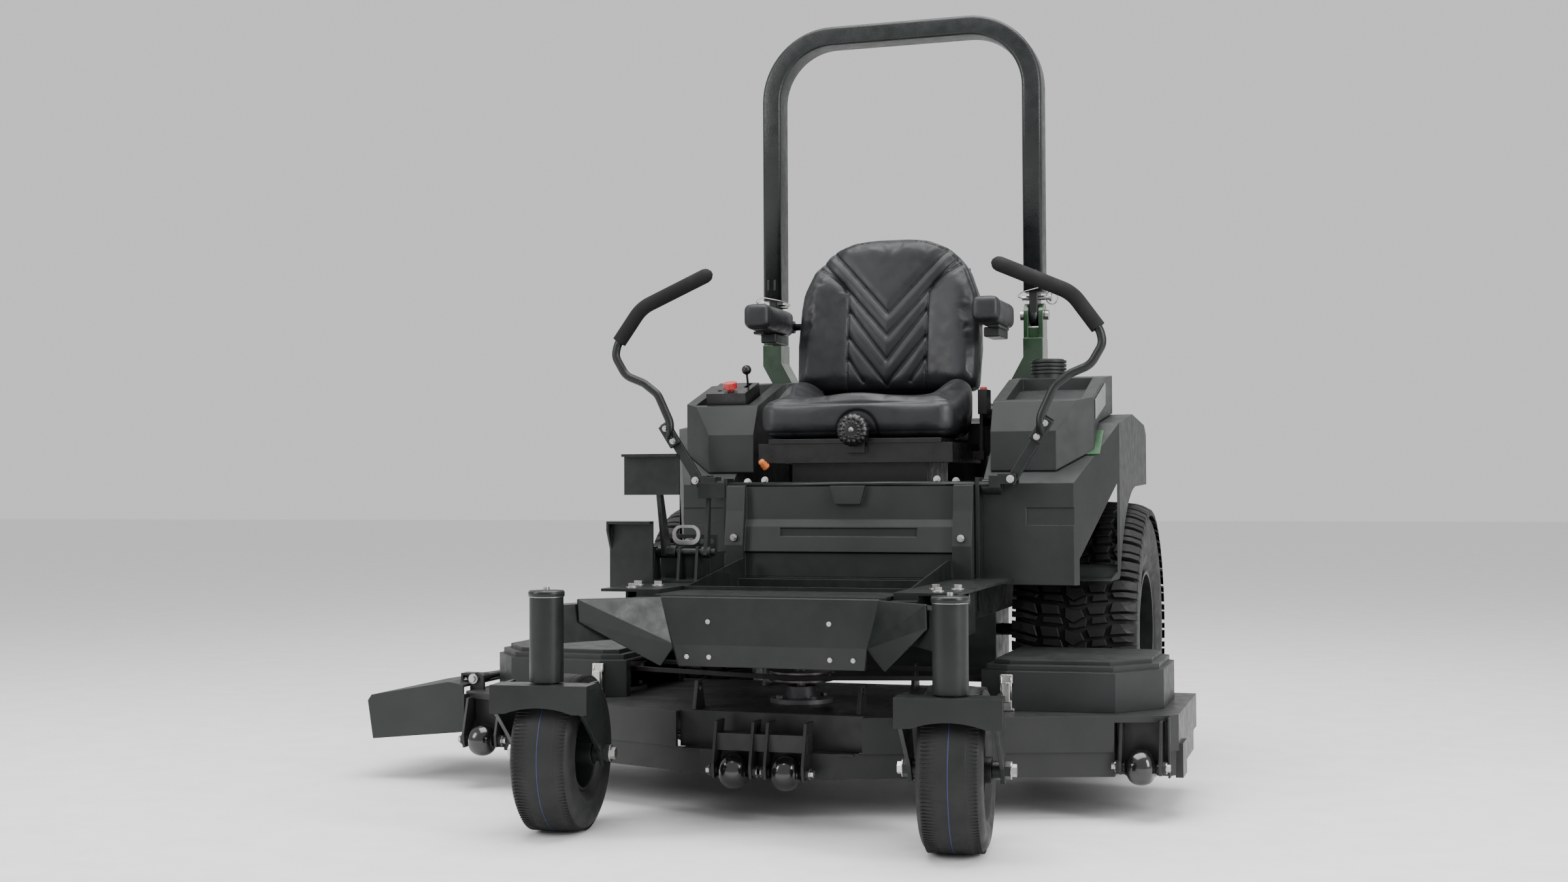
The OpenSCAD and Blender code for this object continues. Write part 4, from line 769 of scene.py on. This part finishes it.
def make_drive_tyre(name):
    """A drive tyre: a plain casing under a tread of separate lugs."""
    node = f"drive_tyre_{name}"
    axis, turn, centre = wheel_turn(node)
    body = BODY_OF[node]
    profile = tyre_profile(REAR_W - 0.008, REAR_R - 0.011, REAR_BEAD, 0.036, REAR_CROWN)
    casing = painted(turned("casing", profile, centre, axis, 128), "tyre_rubber")
    fitted(joined(f"drive_tyre_casing_{name}", [casing]), body, "tyre_rubber", node)
    template = tread_template(REAR_R - SKIN, REAR_W - 0.006, LUGS_PER_TURN)
    lugs = around_axle(template, RIBS, LUGS_PER_TURN, turn, centre)
    lugs.name = f"drive_tyre_lugs_{name}"
    fitted(lugs, body, "tyre_rubber")


for name in ("left", "right"):
    make_caster_tyre(name)
    make_drive_tyre(name)


# ---------- anti-scalp rollers ----------
ROLLER_END = 0.0205                                # from a roller's end to its bolt's head
BALL_ANGLE = 70                                    # degrees of the ball's arc on each side


def make_roller(name):
    """A ball-like roller with flat ends, and the ends of its bolt."""
    node = f"roller_{name}"
    centre = middle(node)
    radius = span(node).z / 2
    half = span(node).x / 2
    profile = [(0.0085, -half), (0.017, -half), (0.019, -half + 0.004)]
    for i in range(17):
        a = math.radians(BALL_ANGLE * (i / 8 - 1))
        profile.append((radius * math.cos(a) ** 0.55,
                        half * 0.86 * math.sin(a) / math.sin(math.radians(BALL_ANGLE))))
    profile += [(0.019, half - 0.004), (0.017, half), (0.0085, half), (0.0085, -half)]
    body = turned(f"roller_ball_{name}", profile, centre, (1, 0, 0), 56)
    fitted(painted(body, "roller_black"), BODY_OF[node], "roller_black", node)
    ends = [(centre + Vector((s * (half + ROLLER_END), 0, 0)), (s, 0, 0)) for s in (-1, 1)]
    bolts(f"roller_bolts_{name}", ends, "deck", 8, 8, 12)


for name in ("left", "center_left", "center_right", "right"):
    make_roller(name)


# ---------- seat ----------
def smooth(low, high, value):
    t = min(1.0, max(0.0, (value - low) / (high - low)))
    return t * t * (3 - 2 * t)


def pad_block(name, half, radius, cuts=26):
    """A dense rounded block about the origin, half its size each way, in metres."""
    bm = bmesh.new()
    bmesh.ops.create_cube(bm, size=2.0)
    bmesh.ops.subdivide_edges(bm, edges=bm.edges, cuts=cuts, use_grid_fill=True)
    for v in bm.verts:
        p = Vector((v.co[i] * half[i] for i in range(3)))
        core = Vector((max(-half[i] + radius, min(half[i] - radius, p[i])) for i in range(3)))
        off = p - core
        v.co = core + off.normalized() * radius if off.length > 1e-9 else core
    mesh = bpy.data.meshes.new(name)
    bm.to_mesh(mesh)
    bm.free()
    obj = bpy.data.objects.new(name, mesh)
    bpy.context.scene.collection.objects.link(obj)
    mesh.shade_smooth()
    return obj


CLOTH_PRESSURE = 4.0
CLOTH_FRAMES = 20


def inflated(obj, voxel=0.006, cap=0.007):
    """Fills a pad: remeshed evenly, blown up as cloth, and kept within cap of where it began."""
    remesh = obj.modifiers.new("even", "REMESH")
    remesh.mode = "VOXEL"
    remesh.voxel_size = voxel
    bake_modifiers(obj)
    before = [v.co.copy() for v in obj.data.vertices]
    cloth = obj.modifiers.new("fill", "CLOTH")
    cloth.settings.use_pressure = True
    cloth.settings.uniform_pressure_force = CLOTH_PRESSURE
    cloth.settings.effector_weights.gravity = 0.0
    cloth.settings.quality = 5
    scene = bpy.context.scene
    for step in range(1, CLOTH_FRAMES + 1):
        scene.frame_set(step)
    bake_modifiers(obj)
    scene.frame_set(1)
    for v, start in zip(obj.data.vertices, before):
        move = v.co - start
        if move.length > cap:
            v.co = start + move.normalized() * cap
    finer = obj.modifiers.new("finer", "SUBSURF")
    finer.levels = finer.render_levels = 1
    bake_modifiers(obj)
    obj.data.shade_smooth()
    return obj


def groove(distance, depth, width):
    """How far a sewn line pulls the surface in, at a distance from it."""
    return depth * math.exp(-(distance / width) ** 2)


def seg_dist(p, a, b):
    ab = (b[0] - a[0], b[1] - a[1])
    t = ((p[0] - a[0]) * ab[0] + (p[1] - a[1]) * ab[1]) / (ab[0] ** 2 + ab[1] ** 2)
    t = min(1.0, max(0.0, t))
    return math.hypot(p[0] - a[0] - ab[0] * t, p[1] - a[1] - ab[1] * t)


def path_dist(p, path):
    return min(seg_dist(p, a, b) for a, b in zip(path, path[1:]))


CUSHION_MID = at(0, 958, 862)
CUSHION_HALF = (0.240, 0.150, 0.044)
KNOB = middle("weight_knob")


def make_cushion():
    """The seat cushion, with raised sides, a rolled front edge and a recess round the weight knob."""
    pad = pad_block("seat_cushion_pad", CUSHION_HALF, 0.032, 34)
    for v in pad.data.vertices:
        x, y, z = v.co
        top = smooth(-0.02, 0.035, z)
        back = smooth(-0.11, 0.10, y)
        side = smooth(0.115, 0.205, abs(x))
        # side bolsters rise to the back, the middle dips, and the front edge rolls over
        z += top * (0.052 * side * back - 0.012 * (1 - side) * smooth(-0.10, 0.0, y))
        z += top * 0.006 * smooth(-0.06, -0.13, y) * math.cos(x * 2 * math.pi / 0.30)
        # the front bulges at the middle and the sides pull in at the corners
        y -= 0.006 * (1 - (x / CUSHION_HALF[0]) ** 2) * (1 if y < 0 else 0)
        x *= 1.0 - 0.05 * smooth(0.02, 0.15, y) - 0.03 * smooth(-0.12, -0.15, y)
        v.co = Vector((x, y, z))
    pad.data.transform(Matrix.Translation(CUSHION_MID))
    inflated(pad)
    front = CUSHION_MID.y - 0.10
    for v in pad.data.vertices:
        x, y, z = v.co - CUSHION_MID
        # a sewn line round the top edge and one low on the front
        if v.co.y < front:
            v.co.y += groove(z - 0.030, 0.0030, 0.0035)
            v.co.y += groove(z + 0.037, 0.0022, 0.0030)
            # arched recess round the knob
            dx, dz = v.co.x - KNOB.x, v.co.z - KNOB.z
            reach = math.hypot(dx, max(0.0, dz))
            v.co.y += groove(reach - 0.047, 0.0045, 0.0035)
            v.co.y += 0.005 * smooth(0.050, 0.044, reach)
    pad.name = "seat_cushion_pad"
    fitted(painted(pad, "seat_vinyl"), "seat", "seat_vinyl", "seat_cushion")


make_cushion()

BACK_TILT = math.radians(10)
BACK_HIGH = 406
BACK_TOP = at(0, 1226, 1328)
# mm below the top and half the width there, then the sewn lines as (sideways, mm below the top)
BACK_OUTLINE = [(0, 44), (7, 100), (34, 165), (85, 212), (151, 238), (190, 244), (290, 249), (BACK_HIGH, 243)]
CHEVRONS = [[(150, 40), (0, 207)], [(180, 62), (0, 265)], [(100, 200), (0, 328)], [(100, 268), (0, 390)],
            [(100, 323), (62, 380)]]
SIDE_SEAM = [(184, 82), (150, 104), (118, 130), (104, 160), (102, 200), (102, 400)]


def back_half_width(down):
    """Half the backrest's width at a distance in mm below its top."""
    for (d0, w0), (d1, w1) in zip(BACK_OUTLINE, BACK_OUTLINE[1:]):
        if down <= d1:
            t = max(0.0, (down - d0) / (d1 - d0))
            return w0 + (w1 - w0) * t
    return BACK_OUTLINE[-1][1]


def back_place():
    """Takes the backrest's own frame, at its top and square to it, to its place on the seat."""
    return Matrix.Translation(BACK_TOP) @ Matrix.Rotation(-BACK_TILT, 4, "X")


def make_backrest():
    """The backrest, crowned with wings forward at its sides, and its sewn chevrons and side panels."""
    pad = pad_block("backrest_pad", (1.0, 0.040, BACK_HIGH * MM / 2), 0.030, 36)
    for v in pad.data.vertices:
        x, y, z = v.co
        z -= BACK_HIGH * MM / 2
        down = -z / MM
        x *= (back_half_width(down) - 7) * MM
        # wings reach forward at the sides, the middle is crowned
        wing = smooth(0.09, 0.21, abs(x))
        y -= 0.020 * wing * smooth(20, 150, down) * (1 if y < 0 else 0.6)
        y -= 0.012 * (1 - (x / 0.24) ** 2) * (1 if y < 0 else 0) * smooth(BACK_HIGH - 6, 250, down)
        v.co = Vector((x, y, z))
    pad.data.transform(back_place())
    inflated(pad)
    inverse = back_place().inverted()
    out = (back_place().to_3x3() @ Vector((0, 1, 0))).normalized()
    for v in pad.data.vertices:
        local = inverse @ v.co
        if local.y > 0.0:
            continue
        p = (abs(local.x) / MM, -local.z / MM)
        seams = min(path_dist(p, line) for line in CHEVRONS)
        if p[0] > 104 and p[1] > 150:
            seams = math.inf                       # the side panels are plain
        panel = path_dist(p, SIDE_SEAM)
        edge = abs(back_half_width(p[1] - 14) - 16 - p[0]) if p[1] > 16 else abs(p[1] - 16)
        sink = groove(seams, 0.0055, 3.2) + groove(seams, 0.0045, 13)
        sink += groove(panel, 0.0045, 3.0) + groove(panel, 0.0030, 12)
        sink += groove(edge, 0.0030, 3.0)
        v.co += out * sink
    pad.name = "backrest_pad"
    fitted(painted(pad, "seat_vinyl"), "backrest", "seat_vinyl", "seat_back")
    return pad


backrest = make_backrest()


def stitch_tree():
    """Short thread stitches lying along each point's aim."""
    tree, source, sink = new_tree("stitches", {"Thread radius": 0.0006, "Stitch length": 0.0042})
    new, link = tree.nodes.new, tree.links.new
    thread = new("GeometryNodeMeshCylinder")
    thread.inputs["Vertices"].default_value = 5
    link(source.outputs["Thread radius"], thread.inputs["Radius"])
    link(source.outputs["Stitch length"], thread.inputs["Depth"])
    turn = turned_to_aim(tree)
    stand = new("GeometryNodeInstanceOnPoints")
    link(source.outputs["Geometry"], stand.inputs["Points"])
    link(thread.outputs["Mesh"], stand.inputs["Instance"])
    link(turn.outputs["Rotation"], stand.inputs["Rotation"])
    return ended(tree, stand, sink, "thread")


STITCHES = stitch_tree()


def sew(name, pad, place, lines, body, pitch=0.0065):
    """Stitches beside seams given in mm on a pad's own front plane, laid on its surface."""
    ray = (place.to_3x3() @ Vector((0, 1, 0))).normalized()
    points, aims = [], []
    for line in lines:
        for a, b in zip(line, line[1:]):
            a, b = Vector(a) * MM, Vector(b) * MM
            count = max(1, int((b - a).length / pitch))
            for i in range(count):
                p = a.lerp(b, (i + 0.5) / count)
                start = place @ Vector((p[0], -0.3, -p[1]))
                hit, where, normal, _ = pad.ray_cast(start, ray)
                if hit:
                    direction = place.to_3x3() @ Vector((b[0] - a[0], 0, -(b[1] - a[1])))
                    points.append(where + normal * 0.0002)
                    aims.append(direction - normal * direction.dot(normal))
    obj = aimed_points(name, points, aims)
    run_tree(obj, STITCHES, {"Thread radius": 0.0005, "Stitch length": 0.0040})
    return fitted(obj, body, "black_plastic")


seam_lines = [[(s * (x + 5), y) for x, y in SIDE_SEAM] for s in (-1, 1)]
sew("backrest_stitches", backrest, back_place(), seam_lines, "backrest")

ARM_HINGE = (1222, 1112)                           # (back, up) of both armrests' hinge


def make_seat_arms():
    """The steel behind the backrest: two arms, a carrier plate and the armrests' cross bar."""
    parts = []
    for side in (-1, 1):
        outline = [(1190, 782), (1226, 782), (1228, 820), (1262, 1000), (1262, 1040), (1232, 1040),
                   (1190, 830)]
        parts.append(prism("arm", outline, side * 154 - 5, side * 154 + 5, "x", 2))
    plate = block("carrier", -190, 190, -4, 4, -470, -70, 3)
    plate.data.transform(back_place() @ Matrix.Translation((-CENTRE_X, 0.042 - PIVOT_Y, 0)))
    parts.append(plate)
    parts.append(turned("cross_bar", [(0, -0.292), (0.009, -0.292), (0.009, 0.292), (0, 0.292)],
                        at(0, *ARM_HINGE), (1, 0, 0), 24))
    group("backrest_steel", parts, "backrest", "frame_black")


make_seat_arms()


def make_armrest(side, name):
    """A padded block with sewn ends, on a steel bracket that folds up at the backrest."""
    place = Matrix.Translation(at(side * 287, 1056, 1116))
    pad = pad_block(f"armrest_pad_{name}", (0.034, 0.112, 0.031), 0.017, 22)
    for v in pad.data.vertices:
        x, y, z = v.co
        x *= 1.0 - 0.06 * smooth(0.06, 0.12, y)
        z += 0.004 * smooth(-0.04, -0.12, y)
        v.co = Vector((x, y, z))
    pad.data.transform(place)
    inflated(pad, 0.005, 0.005)
    for v in pad.data.vertices:
        local = v.co - place.translation
        # seams of the end panels
        for seam in (-0.096, 0.090):
            pull = groove(local.y - seam, 0.0022, 0.0028)
            centre = Vector((place.translation.x, v.co.y, place.translation.z))
            v.co -= (v.co - centre).normalized() * pull
    pad.name = f"armrest_pad_{name}"
    fitted(painted(pad, "seat_vinyl"), BODY_OF[f"armrest_{name}"], "seat_vinyl", f"armrest_{name}")
    outline = [(1120, 1086), (1206, 1088), (1232, 1096), (1236, 1112), (1228, 1124), (1200, 1122),
               (1120, 1100)]
    x = side * 285
    steel = [prism("bracket", outline, min(x - 4, x + 4), max(x - 4, x + 4), "x", 2),
             turned("eye", [(0.0095, -0.011), (0.016, -0.011), (0.016, 0.011), (0.0095, 0.011),
                            (0.0095, -0.011)],
                    at(side * 283, *ARM_HINGE), (1, 0, 0), 32),
             block("tongue", min(x, x + side * 26), max(x, x + side * 26), 1000, 1130, 1078, 1085, 1.5),
             block("housing", x - 20, x + 20, 1040, 1150, 1058, 1082, 4)]
    group(f"armrest_bracket_{name}", steel, BODY_OF[f"armrest_{name}"], "frame_black")
    bolts(f"armrest_bolt_{name}", [(at(side * 292, *ARM_HINGE), (side, 0, 0))], "backrest", 6.5, 7, 10)


for side, name in ((1, "left"), (-1, "right")):
    make_armrest(side, name)


def make_knob():
    """Weight knob: a moulded dial with flutes, a domed face and a metal ring in its middle."""
    low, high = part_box("weight_knob")
    radius = span("weight_knob").z / 2
    face, back = low[1], high[1]
    middle_of_face = Vector((KNOB.x, face, KNOB.z))

    def flutes(angle):
        return 1.0 + 0.022 * math.cos(18 * angle)
    profile = [(0.0, 0.0), (0.010, 0.0), (radius - 0.012, 0.003), (radius - 0.003, 0.008), (radius, 0.014),
               (radius, 0.026), (radius - 0.005, 0.031), (0.006, 0.032), (0.006, back - face),
               (0, back - face)]
    dial = turned("dial", profile, middle_of_face, (0, 1, 0), 180, flutes)
    facets = []
    for i in range(14):
        a = 2 * math.pi * i / 14
        for r, size in ((radius * 0.72, 0.0042), (radius * 0.48, 0.0034)):
            centre = middle_of_face + Vector((r * math.cos(a), 0.0022, r * math.sin(a)))
            facet = [(0, -0.0022), (size * 0.6, -0.0016), (size, 0), (size, 0.002)]
            facets.append(painted(turned("facet", facet, centre, (0, 1, 0), 6), "black_plastic"))
    hub = turned("hub", [(0, -0.003), (0.0025, -0.003), (0.003, -0.0015), (0.0048, -0.0015), (0.006, 0.0),
                         (0.006, 0.003)], middle_of_face, (0, 1, 0), 32)
    knob = joined("weight_knob_dial", [painted(dial, "black_plastic"), painted(hub, "badge_grey")] + facets)
    fitted(knob, "weight_knob", "black_plastic", "weight_knob")


make_knob()


# ---------- fittings ----------
def make_rod_ends():
    """Bolt heads at the control rod ends and on the seat riser."""
    spots = []
    for side in (-1, 1):
        for x, y, z in ((252, 778, 708), (208, 776, 690), (208, 776, 712)):
            spots.append((at(side * x, y, z), (0, -1, 0.2)))
        spots.append((at(side * 272, 733, 578), (0, -1, 0)))
    bolts("riser_bolts", spots, "chassis", 5.5, 6, 8.5)


make_rod_ends()

CAP_Z = 0.480                                      # top of the caster barrels
CAP_PROFILE = [(0.005, 0.0005), (0.034, 0.0005), (0.0362, 0.002), (0.0362, 0.010), (0.034, 0.0132),
               (0.010, 0.0140), (0.005, 0.0140), (0.005, 0.0005)]


def make_small_parts():
    """The rods across the riser's top, the boot beside the seat base and the caps of the caster barrels."""
    rod = hose("control_rod", [at(-330, 772, 702), at(330, 772, 702)], 0.0055, 0.01, 16, (0, 1, 0))
    low = hose("link_rod", [at(-252, 779, 690), at(252, 779, 690)], 0.0045, 0.01, 16, (0, 1, 0))
    group("riser_rods", [rod, low], "chassis", "frame_black")
    boot = turned("boot", [(0, 0), (0.009, 0), (0.010, 0.004), (0.0075, 0.007), (0.0095, 0.011),
                           (0.007, 0.015), (0.0085, 0.019), (0.006, 0.024), (0, 0.025)],
                  at(-214, 808, 742), (-0.4, -0.5, 0.6), 32)
    fitted(painted(boot, "safety_orange"), "seat", "safety_orange")
    for name in ("left", "right"):
        fork = BODY_OF[f"caster_fork_{name}"]
        pivot = next(joint["pos_m"] for joint in frame["joints"] if joint["child"] == fork)
        cap = turned(f"barrel_cap_{name}", CAP_PROFILE, (pivot[0], pivot[1], CAP_Z), (0, 0, 1), 64)
        fitted(painted(cap, "frame_black"), "chassis", "frame_black")


make_small_parts()
fairing = [(x, 162, 424) for x in (-128, 128)] + [(x, 168, 352) for x in (-176, -128, 128, 176)]
bolts("fairing_screws", [(at(*p), (0, -1, 0)) for p in fairing], "chassis", 4, 2.5, 5)


def make_latches():
    """Draw latches that hold the belt covers down."""
    for node in ("belt_cover_left", "belt_cover_right"):
        low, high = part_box(node)
        inner = low[0] if node.endswith("left") else high[0]
        side = 1 if node.endswith("left") else -1
        x = (inner - CENTRE_X) / MM + side * 60
        y = (low[1] - PIVOT_Y) / MM - 2
        z = low[2] / MM
        parts = [block("foot", x - 17, x + 17, y - 7, y + 3, z, z + 6, 1.5),
                 block("base", x - 12, x + 12, y - 7, y + 2, z + 4, z + 52, 2),
                 block("lever", x - 9, x + 9, y - 13, y - 6, z + 18, z + 62, 2.5),
                 block("hook", x - 14, x + 14, y - 6, y + 3, z + 58, z + 78, 2.5)]
        for dx in (-11, 11):
            parts.append(hose("bail", [at(x + dx, y - 8, z + 24), at(x + dx, y - 9, z + 50),
                                       at(x + dx * 0.9, y - 6, z + 72)], 0.0018, 0.01, 8))
        group(f"cover_latch_{node[11:]}", parts, "deck", "zinc_steel")


make_latches()
chute_low, chute_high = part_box("chute")
CHUTE_Y0 = (chute_low[1] - PIVOT_Y) / MM
CHUTE_EDGE = (chute_high[0] - CENTRE_X) / MM
bolts("chute_bolts", [(at(CHUTE_EDGE - 52, CHUTE_Y0 + d, 238), (0, 0, 1)) for d in (54, 92, 250, 300)],
      "chute", 5.5, 5, 8.5)
bolts("chute_pivot_bolt", [(at(CHUTE_EDGE - 20, CHUTE_Y0 + 26, 243), (0, -1, 0))], "deck", 8, 8, 12)

POD_SIDE = 548                                     # outer side of the left pod
FENDER_NOSE = (820, 702)                           # front top edge of the fenders
FENDER_RISE = 141 / 180                            # slope of the fenders' front


def make_badges():
    """Blank plates where a maker would put its badges."""
    outline = [(930, 850), (1090, 890), (1090, 942), (930, 896)]
    plate = prism("plate", outline, POD_SIDE, POD_SIDE + 4, "x", 1.5)
    group("pod_badge", [plate], "chassis", "badge_grey")
    slope = [(y, FENDER_NOSE[1] + (y - FENDER_NOSE[0]) * FENDER_RISE) for y in (902, 974)]
    plate = prism("plate", [slope[0], slope[1], (slope[1][0] - 2.5, slope[1][1] + 3.2),
                            (slope[0][0] - 2.5, slope[0][1] + 3.2)], 531, 563, "x", 1.0)
    fitted(painted(plate, "badge_green"), "chassis", "badge_green")


make_badges()


# ---------- floor, light and camera ----------
FLOOR_HALF = 30.0
CAMERA_AT = (1154, -3334, 701)
CAMERA_TURN = (-17.73, 1.37, -0.26)                # yaw, pitch and roll in degrees
CAMERA_LENS = 42.03


def make_floor():
    corners = [(x * FLOOR_HALF, y * FLOOR_HALF, 0) for x, y in ((-1, -1), (1, -1), (1, 1), (-1, 1))]
    floor = mesh_object("floor", corners, [[0, 1, 2, 3]])
    mat = finish("floor_pale", (0.80, 0.80, 0.80), (0.86, 0.86, 0.86), 0.6, grain=40, depth=0.0002)
    floor.data.materials.append(mat)


def make_light(name, place, target, size, power):
    data = bpy.data.lights.new(name, "AREA")
    data.shape = "RECTANGLE"
    data.size, data.size_y = size
    data.energy = power
    lamp = bpy.data.objects.new(name, data)
    bpy.context.scene.collection.objects.link(lamp)
    lamp.location = place
    lamp.rotation_euler = (Vector(target) - Vector(place)).to_track_quat("-Z", "Y").to_euler()


def make_studio():
    world = bpy.data.worlds.new("studio")
    bpy.context.scene.world = world
    world.use_nodes = True
    sky = world.node_tree.nodes["Background"]
    sky.inputs["Color"].default_value = (1.0, 1.0, 1.0, 1.0)
    sky.inputs["Strength"].default_value = 0.80
    make_light("ceiling", (0.3, -0.4, 4.6), (0, 0, 0.6), (4.4, 3.4), 330)
    make_light("front_left", (-3.4, -3.4, 2.6), (0, -0.2, 0.7), (1.4, 2.4), 120)
    make_light("front_right", (4.0, -2.0, 2.2), (0.2, 0, 0.7), (1.2, 2.6), 150)


def make_camera():
    data = bpy.data.cameras.new("camera")
    data.lens = CAMERA_LENS
    data.sensor_width = 36.0
    camera = bpy.data.objects.new("camera", data)
    bpy.context.scene.collection.objects.link(camera)
    yaw, pitch, roll = (math.radians(a) for a in CAMERA_TURN)
    ahead = Vector((math.sin(yaw) * math.cos(pitch), math.cos(yaw) * math.cos(pitch), math.sin(pitch)))
    level = Vector((math.cos(yaw), -math.sin(yaw), 0))
    above = level.cross(ahead)
    right = level * math.cos(roll) + above * math.sin(roll)
    up = above * math.cos(roll) - level * math.sin(roll)
    turn = Matrix((right, up, -ahead)).transposed()
    camera.matrix_world = Matrix.Translation(at(*CAMERA_AT)) @ turn.to_4x4()
    bpy.context.scene.camera = camera


make_floor()
make_studio()
make_camera()
